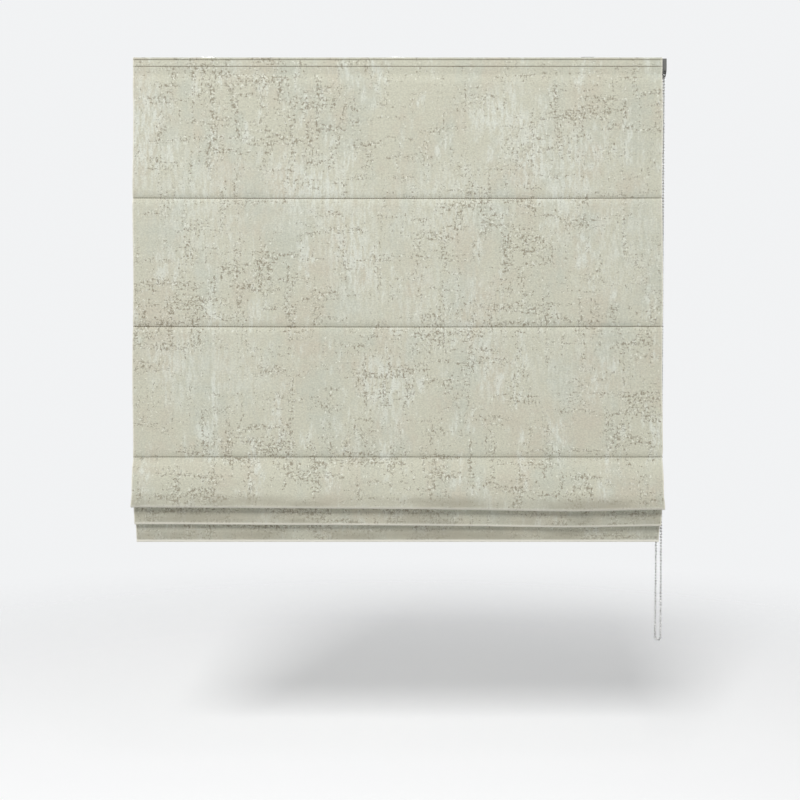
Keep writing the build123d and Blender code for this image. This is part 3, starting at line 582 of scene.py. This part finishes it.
def draped(x, y, drop):
    # how the hung cloth strays from its straight route; every layer at one place moves together
    c = cloth
    # each panel swells between its seams, and the two folds wave and sag across the width
    gap = min(abs(drop - edge) for edge in (c["flatZone"][0], *c["seams"]))
    panel = 1 - math.exp(-(gap / c["puffWidth"]) ** 2)
    swell = c["puff"] + c["panelWave"] * (0.5 + drift(x, drop, c["waveSize"]))
    forward = within(drop, c["flatZone"]) * panel * swell
    loops = within(drop, c["loopZone"])
    short, bend, long = c["rippleLong"]
    forward += loops * c["ripple"] * math.sin(x / short + bend * math.sin(x / long))
    settle = loops * sagAt(x)
    # the panels dip in the middle and lean a little, and fold A spreads at its two ends
    dip = within(drop, c["dipZone"]) * c["dip"] * (1 - (2 * x / (c["right"] - c["left"])) ** 2)
    lean = within(drop, c["leanZone"]) * c["lean"] * drift(x, drop, c["leanSize"])
    low, high = c["flareEdge"]
    spread = smooth(x, high, high + c["flareReach"]) - smooth(-x, -low, -low + c["flareReach"])
    wide = within(drop, c["noseZone"]) * c["flare"] * spread * smooth(-y, 20, 32)
    edge = c["edgeWave"] * math.sin(drop / c["edgeLong"]) * within(drop, c["edgeZone"])
    for row in c["header"] + c["seams"]:
        forward -= c["pinch"] * math.exp(-((drop - row) / c["pinchWidth"]) ** 2)
    sideways = wide + lean * c["leanShift"] + edge * smooth(abs(x), *c["edgeReach"])
    return x + sideways, y - forward, drop - settle + dip


def routeStations(route, step, fine=14.0):
    # rounds the route's corners and walks along it: (y, drop, normal y, normal drop, distance)
    points = [Vector((y, d)) for y, d, _ in route]
    walk = [points[0]]
    for i in range(1, len(points) - 1):
        before = (points[i] - points[i - 1]).normalized()
        after = (points[i + 1] - points[i]).normalized()
        turn = math.acos(min(max(before.dot(after), -1), 1))
        radius = route[i][2]
        if turn < 1e-4 or radius == 0:
            walk.append(points[i])
            continue
        back = radius * math.tan(turn / 2)
        start = points[i] - before * back
        side = Vector((-before.y, before.x))
        if side.dot(after) < 0:
            side = -side
        middle = start + side * radius
        count = max(2, math.ceil(math.degrees(turn) / fine))
        for k in range(count + 1):
            angle = turn * k / count
            walk.append(middle - side * radius * math.cos(angle) + before * radius * math.sin(angle))
    walk.append(points[-1])
    rows = cloth["header"] + cloth["seams"]
    closer = [row + off for row in rows for off in (-3, -1.8, -1, -0.5, 0, 0.5, 1, 1.8, 3)]
    spread = [walk[0]]
    for a, b in zip(walk, walk[1:]):
        parts = max(1, math.ceil((b - a).length / step))
        shares = [k / parts for k in range(1, parts + 1)]
        if abs(b.y - a.y) > 1:
            shares += [(mark - a.y) / (b.y - a.y) for mark in closer]
        for share in sorted(share for share in shares if 0 < share <= 1):
            spread.append(a.lerp(b, share))
    tidy = [spread[0]]
    for p in spread[1:]:
        if (p - tidy[-1]).length > 0.05:
            tidy.append(p)
    stations, gone = [], 0.0
    for i, p in enumerate(tidy):
        a, b = tidy[max(i - 1, 0)], tidy[min(i + 1, len(tidy) - 1)]
        way = (b - a).normalized()
        if i:
            gone += (p - tidy[i - 1]).length
        stations.append((p.x, p.y, way.y, -way.x, gone))
    return stations


def crossSection(left, right, thick, rim):
    # closed outline across the width, as (x, way out of the cloth): a front, two rounded edges and a back
    columns = cloth["columns"]
    xs = [left + (right - left) * i / columns for i in range(columns + 1)]
    xs[1:1] = [left + 0.8, left + 2.2, left + 4.0]
    xs[-1:-1] = [right - 4.0, right - 2.2, right - 0.8]

    def half(x):
        edge = min(x - left, right - x)
        return thick / 2 + rim * (1 - smooth(edge, 1.6, 4.0))

    outline = [(x, -half(x)) for x in xs]
    outline += [(right + half(right) * 0.6, half(right) * 0.4 * side) for side in (-1, 1)]
    outline += [(x, thick / 2) for x in reversed(xs)]
    outline += [(left - half(left) * 0.6, half(left) * 0.4 * side) for side in (1, -1)]
    return outline


def layerSide(name, gone, length):
    # past a nose the lining passes to the window side of the leg, and passes back just before the rod
    if not name.endswith("_back"):
        return 1
    return 1 - 2 * smooth(gone, *cloth["passes"]) * (1 - smooth(gone, length - cloth["returns"], length))


def layPiece(name, stations, shift, outline, start, material):
    # sweeps the outline along the stations; start is the distance down the cloth at the first one
    points, faces, places = [], [], []
    around = len(outline)
    for y, drop, ny, nd, gone in stations:
        layer = shift * layerSide(name, gone, stations[-1][4])
        for x, out in outline:
            moved = draped(x, y, drop)
            away = layer + out
            height = cloth["top"] - moved[2] - nd * away
            points.append((moved[0] * mm, (moved[1] + ny * away) * mm, height * mm))
            places.append((x * mm, (start + gone) * mm, away * mm))
    for r in range(len(stations) - 1):
        for k in range(around):
            a, b = r * around + k, r * around + (k + 1) % around
            faces.append((a, a + around, b + around, b))
    half = around // 2
    last = (len(stations) - 1) * around
    for k in range(half - 1):
        faces.append((k, k + 1, around - 2 - k, around - 1 - k))
        faces.append((last + k + 1, last + k, last + around - 1 - k, last + around - 2 - k))
    piece = addMesh(name, points, faces, material)
    held = piece.data.attributes.new("clothPlace", "FLOAT_VECTOR", "POINT")
    held.data.foreach_set("vector", [value for place in places for value in place])
    return piece


def cutAt(stations, spots):
    # splits the walk where it passes closest to each spot (y, drop), after the spot before
    pieces, begin = [], 0
    for spot in spots:
        seek = range(begin, len(stations))
        at = min(seek, key=lambda i: math.dist(stations[i][:2], spot))
        pieces.append(stations[begin:at + 1])
        begin = at
    pieces.append(stations[begin:])
    return pieces


# the five joined parts: (name, the body that carries it, or the two that it stretches between, their places)
noseA, turnFour = (-30.2, f["noseA"]), (-24.9, f["turnFour"])
noseB, turnFive = (-10.3, f["noseB"]), (-24.9, f["turnFive"])
cuts = [noseA, turnFour, noseB, turnFive]


def placeAt(y, drop):
    return (0, y * mm, (cloth["top"] - drop) * mm)


clothParts = [
    ("upper", "headrail", None, None, None),
    ("fold_a_back", None, ("headrail", "lower_rod"), placeAt(*noseA), placeAt(f["leg"], f["turnFour"])),
    ("fold_b_front", "lower_rod", None, None, None),
    ("fold_b_back", None, ("lower_rod", "hem"), placeAt(*noseB), placeAt(f["leg"], f["turnFive"])),
    ("hem", "hem", None, None, None),
]


def hangCloth(label, route, shift, outline, node, material):
    stations = routeStations(route, cloth["step"])
    top = next((s[4] for s in stations if s[1] < topDrop), 0.0)
    laid, lengths = [], []
    for part, run in zip(clothParts, cutAt(stations, cuts)):
        first = run[0][4]
        local = [(y, d, ny, nd, gone - first) for y, d, ny, nd, gone in run]
        piece = layPiece(f"{label}_{part[0]}", local, shift, outline, first - top, material)
        if part[1]:
            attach(piece, part[1])
        else:
            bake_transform(piece)
        laid.append(piece)
        lengths.append(round(local[-1][4], 1))
    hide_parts(node)
    print(label, "hung, lengths in mm", lengths, "in all", round(sum(lengths), 1))


c = cloth
topDrop = 0.9
faceRoute = [*c["turnover"], *c["foldA"], *c["foldB"], *c["hem"]]
walked = routeStations(faceRoute, c["step"])
topEdge = next(s[4] for s in walked if s[1] < topDrop)
noses = [(b[4] - topEdge) * mm for a, b, d in zip(walked, walked[1:], walked[2:]) if a[1] < b[1] >= d[1]]
sewn = [next(s[4] - topEdge for s in walked if s[4] > topEdge + 1 and s[1] >= row - 0.01) * mm
        for row in c["header"] + c["seams"]]
printedFace = printedFinish(noses, sewn)
# the noses printed here are where the painted highlight and the painted shade band fall
print("printed cloth made, highlighted at", [round(n, 4) for n in noses], "sewn at", [round(n, 4) for n in sewn])
faceOutline = crossSection(c["left"], c["right"], c["face"], c["rim"])
hangCloth("face", faceRoute, 0.0, faceOutline,
          "face_fabric", printedFace)
liningRoute = [*c["liningTop"], *c["foldA"], *c["foldB"], *c["liningEnd"]]
liningOutline = crossSection(c["left"] + c["liningInset"], c["right"] - c["liningInset"], c["lining"],
                             c["liningRim"])
hangCloth("lining", liningRoute, c["apart"], liningOutline,
          "lining", liningCloth)

# stitching: rows of single thread stitches that follow the hung cloth
# each ring of a stitch is (share of its length, share of its thickness, how far it dips in)
stitching = {
    "pitch": 3.6, "long": 3.1, "thick": 0.4, "headerThick": 0.5, "seamThick": 0.55, "inset": 3.0,
    "rings": ((0.0, 0.45, 0.9), (0.22, 1.0, 0.0), (0.78, 1.0, 0.0), (1.0, 0.45, 0.9)), "sides": 6,
}


def stitchMesh(name, spots, material, thick):
    # each spot is two ends and the way out of the cloth, for a short tapered thread that dips in at both ends
    points, faces = [], []
    rings, sides = stitching["rings"], stitching["sides"]
    for a, b, outward in spots:
        way = (b - a).normalized()
        side = way.cross(outward).normalized()
        first = len(points)
        for along, size, dip in rings:
            middle = a.lerp(b, along) - outward * thick * dip
            for k in range(sides):
                turn = 2 * math.pi * k / sides
                points.append(middle + (side * math.cos(turn) + outward * math.sin(turn)) * thick * size)
        for r in range(len(rings) - 1):
            for k in range(sides):
                p, q = first + r * sides + k, first + r * sides + (k + 1) % sides
                faces.append((p, q, q + sides, p + sides))
        faces.append([first + k for k in range(sides)][::-1])
        faces.append([first + (len(rings) - 1) * sides + k for k in range(sides)])
    return addMesh(name, points, faces, material)


def hungPoint(x, y, drop):
    moved = draped(x, y, drop)
    return Vector((moved[0], moved[1], cloth["top"] - moved[2])) * mm


def rowAcross(name, body, drop, y, thick):
    s = stitching
    spots = []
    x = c["left"] + s["inset"]
    while x + s["long"] < c["right"] - s["inset"]:
        spots.append((hungPoint(x, y, drop), hungPoint(x + s["long"], y, drop), Vector((0, -1, 0))))
        x += s["pitch"]
    row = stitchMesh(name, spots, seamThread, thick * mm)
    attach(row, body)


headerFront, panelFront = c["headerFront"] - c["face"] / 2, f["plane"] - c["face"] / 2
for i, drop in enumerate(c["header"], 1):
    rowAcross(f"header_stitches_{i}", "headrail", drop, headerFront, stitching["headerThick"])
for i, drop in enumerate(c["seams"], 1):
    rowAcross(f"seam_stitches_{i}", "headrail", drop, panelFront, stitching["seamThick"])
for i, (drop, body) in enumerate(zip(c["lowSeams"], ("lower_rod", "hem")), 4):
    rowAcross(f"seam_stitches_{i}", body, drop, panelFront, stitching["thick"])
print("stitching sewn")

# the turned-up hem and the side hems are caught down with finer thread on the back
backHem = {
    "thick": 0.26, "in": 16.0, "from": 34.0, "to": 795.0, "sideBack": -22.5, "hemBack": 2.0, "hemDrop": 942.0,
}
toWindow = Vector((0, 1, 0))
hemSpots = []
x = c["left"] + stitching["inset"]
while x < c["right"] - stitching["inset"]:
    low = Vector((x, backHem["hemBack"] + c["face"] / 2, c["top"] - backHem["hemDrop"])) * mm
    hemSpots.append((low, low + Vector((stitching["long"] * mm, 0, 0)), toWindow))
    x += stitching["pitch"]
hemRow = stitchMesh("hem_stitches", hemSpots, hemThread, backHem["thick"] * mm)
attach(hemRow, "hem")
for side, name in ((c["left"] + backHem["in"], "left"), (c["right"] - backHem["in"], "right")):
    spots = []
    drop = backHem["from"]
    while drop < backHem["to"]:
        ends = [hungPoint(side, backHem["sideBack"], at) for at in (drop, drop + stitching["long"])]
        spots.append((*ends, toWindow))
        drop += stitching["pitch"] * 2
    sideRow = stitchMesh(f"side_hem_stitches_{name}", spots, hemThread, backHem["thick"] * mm)
    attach(sideRow, "headrail")

# pocket tapes: a narrow tape folded round each rod and sewn flat to the lining
pocketTape = {
    "rodY": -19.6, "rod": 2.43, "thick": 0.34, "flangeY": -22.02, "flange": 3.0, "lip": 0.62,
    "bend": 144, "bends": 14, "left": -508.0, "right": 506.0, "drops": c["seams"] + c["lowSeams"],
    "bodies": ["headrail", "headrail", "headrail", "lower_rod", "hem"],
    "columns": 120, "loose": 0.1, "looseLong": 14, "stitch": 2.9, "pitch": 4.2, "fromSeam": 2.72,
    "thread": 0.15, "first": 2, "last": 5,
}


def tapeProfile():
    # seen from the end: down the upper flange, round the back of the rod, down the lower flange
    t = pocketTape
    line = [(t["flangeY"], t["flange"]), (t["flangeY"], t["rod"] * t["lip"])]
    for k in range(t["bends"] + 1):
        angle = math.radians(t["bend"] - 2 * t["bend"] * k / t["bends"])
        line.append((t["rodY"] + t["rod"] * math.cos(angle), t["rod"] * math.sin(angle)))
    line += [(t["flangeY"], -t["rod"] * t["lip"]), (t["flangeY"], -t["flange"])]
    return line


def tapeMesh(name, drop, material):
    t = pocketTape
    line = tapeProfile()
    outer, inner = [], []
    for i, (y, z) in enumerate(line):
        a, b = line[max(i - 1, 0)], line[min(i + 1, len(line) - 1)]
        way = Vector((b[0] - a[0], b[1] - a[1])).normalized()
        outer.append((y - way.y * t["thick"] / 2, z + way.x * t["thick"] / 2))
        inner.append((y + way.y * t["thick"] / 2, z - way.x * t["thick"] / 2))
    outline = outer + inner[::-1]
    points, faces = [], []
    for i in range(t["columns"] + 1):
        x = t["left"] + (t["right"] - t["left"]) * i / t["columns"]
        loose = t["loose"] * noise.noise(Vector((x / t["looseLong"], drop, 0)))
        for y, z in outline:
            back = smooth(y, t["rodY"], t["rodY"] + t["rod"])
            points.append((x * mm, (y + loose * back) * mm, (c["top"] - drop + z) * mm))
    around = len(outline)
    for i in range(t["columns"]):
        for k in range(around):
            a, b = i * around + k, i * around + (k + 1) % around
            faces.append((a, b, b + around, a + around))
    half = around // 2
    last = t["columns"] * around
    for k in range(half - 1):
        faces.append((k + 1, k, around - 1 - k, around - 2 - k))
        faces.append((last + k, last + k + 1, last + around - 2 - k, last + around - 1 - k))
    return addMesh(name, points, faces, material)


profile = tapeProfile()
for i, (drop, body) in enumerate(zip(pocketTape["drops"], pocketTape["bodies"]), 1):
    tape = tapeMesh(f"pocket_tape_{i}", drop, tapeCloth)
    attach(tape, body)
    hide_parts(f"rod_tape_{i}")
    for side, name in ((-1, "low"), (1, "high")):
        y = pocketTape["flangeY"] + pocketTape["thick"] / 2
        spots = []
        x = pocketTape["left"] + pocketTape["first"]
        while x < pocketTape["right"] - pocketTape["last"]:
            low = Vector((x, y, c["top"] - drop + side * pocketTape["fromSeam"])) * mm
            spots.append((low, low + Vector((pocketTape["stitch"] * mm, 0, 0)), toWindow))
            x += pocketTape["pitch"]
        row = stitchMesh(f"tape_stitches_{i}_{name}", spots, hemThread, pocketTape["thread"] * mm)
        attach(row, body)

# touch tape along the top of the rail: a hook strip on the rail and a loop strip sewn to the cloth
touchTape = {
    "drop": 1.25, "high": 20.0, "thick": 1.16, "hookBack": -20.0, "loopBack": -21.2, "inlay": 0.02,
    "columns": 264, "rows": 9, "selvedge": 0.35, "tuftLong": 2.3, "tuftHigh": 1.7,
}


def pileStrip(name, left, right, back, material, tuft, seed):
    t = touchTape
    rows = t["rows"]
    points, faces = [], []
    for layer in (0, 1):
        for i in range(t["columns"] + 1):
            x = left + (right - left) * i / t["columns"]
            for k in range(rows + 1):
                z = c["top"] - t["drop"] - t["high"] * k / rows
                woven = 1.0 if 0 < k < rows else t["selvedge"]
                rough = noise.noise(Vector((x / t["tuftLong"], k * t["tuftHigh"], seed)))
                puff = tuft * woven * (0.5 + 0.5 * rough)
                y = back - t["inlay"] if layer == 0 else back - t["thick"] + tuft - puff
                points.append((x * mm, y * mm, z * mm))
    line = rows + 1
    sheetSize = (t["columns"] + 1) * line
    for i in range(t["columns"]):
        for k in range(rows):
            a = i * line + k
            faces.append((a, a + line, a + line + 1, a + 1))
            b = a + sheetSize
            faces.append((b, b + 1, b + line + 1, b + line))
    for i in range(t["columns"]):
        for k, flip in ((0, False), (rows, True)):
            a, b = i * line + k, (i + 1) * line + k
            quad = (a, a + sheetSize, b + sheetSize, b)
            faces.append(quad[::-1] if flip else quad)
    for k in range(rows):
        for i, flip in ((0, True), (t["columns"], False)):
            a = i * line + k
            quad = (a, a + sheetSize, a + 1 + sheetSize, a + 1)
            faces.append(quad[::-1] if flip else quad)
    return addMesh(name, points, faces, material)


hookStrip = pileStrip("hook_strip", -527.4, 527.4, touchTape["hookBack"], hookPile, 0.25, 1.0)
loopStrip = pileStrip("loop_strip", -525.0, 523.0, touchTape["loopBack"], loopPile, 0.45, 5.0)
strips = [(hookStrip, "hook_tape", "touch_hook", 1.0548), (loopStrip, "loop_tape", "touch_loop", 1.048)]
for strip, node, slotName, wide in strips:
    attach(strip, "headrail")
    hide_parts(node)
print("touch tape laid")

# lift cords: braided, from the front of each drum down through the rings to the anchors
liftCord = {
    "x": [-430.0, -143.0, 143.0, 430.0], "y": -11.9, "shaft": -21.2, "radius": 0.6, "end": -852.0,
    "leaves": -50.0, "ringFour": -826.6, "ringFive": -846.2, "braid": 0.07, "step": 1.6, "lowStep": 1.2,
    "turns": 6, "lay": 1.45, "coilRadius": 11.63, "coilStart": 1.9, "coilThick": 0.55, "coilSides": 8,
    "perTurn": 26, "overParts": 12,
}


def braidedTube(name, places, radius, material, sides=10):
    points, faces = [], []
    for i, (middle, way) in enumerate(places):
        side = way.cross(Vector((0.2, 0.3, 1.0)) if abs(way.z) < 0.8 else Vector((1, 0, 0))).normalized()
        up = way.cross(side)
        for k in range(sides):
            turn = 2 * math.pi * k / sides
            size = radius * (1 - liftCord["braid"] * (1 - math.cos(math.pi * (i + k))))
            points.append(middle + side * size * math.cos(turn) + up * size * math.sin(turn))
    for i in range(len(places) - 1):
        for k in range(sides):
            a, b = i * sides + k, i * sides + (k + 1) % sides
            faces.append((a, b, b + sides, a + sides))
    faces.append([k for k in range(sides)][::-1])
    faces.append([(len(places) - 1) * sides + k for k in range(sides)])
    return addMesh(name, points, faces, material)


def straightRun(x, high, low, step):
    count = max(2, round((high - low) / step))
    return [(Vector((x, liftCord["y"], high - (high - low) * i / count)) * mm, Vector((0, 0, -1)))
            for i in range(count + 1)]


for i, x in enumerate(liftCord["x"], 1):
    y, shaft, ringFour = liftCord["y"], liftCord["shaft"], liftCord["ringFour"]
    over = []
    for k in range(liftCord["overParts"] + 1):
        angle = math.radians(90 + 90 * k / liftCord["overParts"])
        spot = Vector((x, -y * math.cos(angle), shaft - y * math.sin(angle))) * mm
        over.append((spot, Vector((0, -math.sin(angle), math.cos(angle)))))
    top = braidedTube(f"lift_cord_{i}_over_drum", over, liftCord["radius"] * mm, cordBraid)
    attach(top, "headrail")
    upper = braidedTube(f"lift_cord_{i}_upper", straightRun(x, shaft, ringFour, liftCord["step"]),
                        liftCord["radius"] * mm, cordBraid)
    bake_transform(upper)
    lowRun = straightRun(x, ringFour, liftCord["end"], liftCord["lowStep"])
    lower = braidedTube(f"lift_cord_{i}_lower", lowRun, liftCord["radius"] * mm, cordBraid)
    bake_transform(lower)
    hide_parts(f"lift_cord_{i}")
    coil = []
    lay, reach = liftCord["lay"], liftCord["coilRadius"]
    for k in range(liftCord["turns"] * liftCord["perTurn"] + 1):
        turned = k / liftCord["perTurn"]
        angle = 2 * math.pi * turned
        spot = Vector((x + liftCord["coilStart"] + lay * turned, reach * math.cos(angle),
                       shaft + reach * math.sin(angle))) * mm
        way = Vector((lay / (2 * math.pi * reach), -math.sin(angle), math.cos(angle)))
        coil.append((spot, way.normalized()))
    wound = braidedTube(f"lift_cord_{i}_turns", coil, liftCord["coilThick"] * mm, cordBraid,
                        liftCord["coilSides"])
    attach(wound, "drive")
print("lift cords laced")

# finishes on the hard parts that come straight from the frame
brackets = ("left", "centre", "right")
finishes = {
    railPaint: ["headrail"],
    greyMoulding: ["idle_end_cap", "shaft_bush", "drive_housing", "drive_cover"],
    whiteMoulding: ["drive_core", "chain_wheel", "bar_end_caps", "rod_caps_upper", "rod_caps_4", "rod_caps_5",
                    *[f"lift_drum_{i}" for i in range(1, 5)], *[f"spool_cradle_{i}" for i in range(1, 5)]],
    rodGlassFibre: [f"rod_{i}" for i in range(1, 6)],
    clearMoulding: ["cord_anchors", *[f"cord_rings_{i}" for i in range(1, 5)]],
    zincSteel: ["drive_shaft", "lever_rivets", "cover_screws", *[f"bracket_{b}" for b in brackets],
                *[f"bracket_lever_{b}" for b in brackets]],
    springSteel: ["clutch_spring"],
    barAluminium: ["bottom_bar"],
}
for finish, names in finishes.items():
    for name in names:
        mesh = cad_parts[name].data
        mesh.materials.clear()
        mesh.materials.append(finish)
print("hard parts finished")

# a plain pale floor and soft studio light; each lamp is (place, size, power)
studio = {
    "floor": -1.46, "floorHalf": 3.2, "floorShade": (0.88, 0.88, 0.88), "floorGlow": 0.34,
    "floorFade": (0.9, 2.9),
    "sky": (0.96, 0.97, 0.98), "skyStrength": 0.22, "backdrop": 0.92, "aim": (0, 0, -0.5),
    "lamps": {
        "key": ((-1.2, -5.0, 3.6), 2.0, 338.0), "fill": ((1.0, -3.0, -0.6), 1.4, 5.0),
        "top": ((0.1, -0.9, 1.6), 0.5, 3.0), "back": ((1.0, 4.6, 3.0), 2.2, 230.0),
        "leftSide": ((-4.5, 0.6, 1.2), 1.6, 80.0), "rightSide": ((4.5, 0.6, 1.2), 1.6, 80.0),
    },
    "offFloor": ("back", "leftSide", "rightSide"),
}


def fadeFloor(tree, shader):
    # the floor is seen a little brighter than it lights the piece, and melts into the surroundings at its rim
    glow = tree.nodes.new("ShaderNodeEmission")
    glow.inputs["Color"].default_value = (*studio["sky"], 1)
    seen = tree.nodes.new("ShaderNodeLightPath")
    shine = combine(tree, "MULTIPLY", seen.outputs["Is Camera Ray"], studio["floorGlow"])
    tree.links.new(shine, glow.inputs["Strength"])
    both = tree.nodes.new("ShaderNodeAddShader")
    tree.links.new(shader.outputs["BSDF"], both.inputs[0])
    tree.links.new(glow.outputs["Emission"], both.inputs[1])
    out = tree.nodes.new("ShaderNodeVectorMath")
    out.operation = "LENGTH"
    tree.links.new(inObject(tree, (1, 1, 0)), out.inputs[0])
    clear = tree.nodes.new("ShaderNodeBsdfTransparent")
    rim = tree.nodes.new("ShaderNodeMixShader")
    tree.links.new(between(tree, out.outputs["Value"], *studio["floorFade"]), rim.inputs["Fac"])
    tree.links.new(both.outputs["Shader"], rim.inputs[1])
    tree.links.new(clear.outputs["BSDF"], rim.inputs[2])
    tree.links.new(rim.outputs["Shader"], tree.nodes["Material Output"].inputs["Surface"])


floorFinish, floorTree, floorShader = newFinish("floorPaint", studio["floorShade"], 0.85)
relief(floorTree, floorShader, grain(floorTree, inObject(floorTree), 60.0, 3.0), 0.05, 0.001)
fadeFloor(floorTree, floorShader)
half, level = studio["floorHalf"], studio["floor"]
corners = [(-half, -half, level), (half, -half, level), (half, half, level), (-half, half, level)]
floorMesh = addMesh("floor", corners, [(0, 1, 2, 3)], floorFinish)

# the pale surroundings are seen bright, and light the piece softly
world = bpy.data.worlds.new("studioWorld")
world.use_nodes = True
sky = world.node_tree
soft = sky.nodes["Background"]
soft.inputs["Color"].default_value = (*studio["sky"], 1)
soft.inputs["Strength"].default_value = studio["skyStrength"]
bright = sky.nodes.new("ShaderNodeBackground")
bright.inputs["Color"].default_value = (*studio["sky"], 1)
bright.inputs["Strength"].default_value = studio["backdrop"]
seen = sky.nodes.new("ShaderNodeLightPath")
either = sky.nodes.new("ShaderNodeMixShader")
sky.links.new(seen.outputs["Is Camera Ray"], either.inputs["Fac"])
sky.links.new(soft.outputs["Background"], either.inputs[1])
sky.links.new(bright.outputs["Background"], either.inputs[2])
sky.links.new(either.outputs["Shader"], sky.nodes["World Output"].inputs["Surface"])
bpy.context.scene.world = world
bpy.context.scene.view_settings.view_transform = "Standard"

# the lamps behind the blind leave the floor as the front lamps light it
floorOnly = bpy.data.collections.new("floorOnly")
floorOnly.objects.link(floorMesh)
floorOnly.collection_objects[0].light_linking.link_state = "EXCLUDE"
for name, (place, size, power) in studio["lamps"].items():
    lampData = bpy.data.lights.new(name + "Light", "AREA")
    lampData.shape = "SQUARE"
    lampData.size = size
    lampData.energy = power
    lamp = bpy.data.objects.new(name + "Light", lampData)
    lamp.location = place
    lamp.rotation_euler = (Vector(studio["aim"]) - Vector(place)).to_track_quat("-Z", "Y").to_euler()
    bpy.context.collection.objects.link(lamp)
    if name in studio["offFloor"]:
        lamp.light_linking.receiver_collection = floorOnly
print("studio lit")
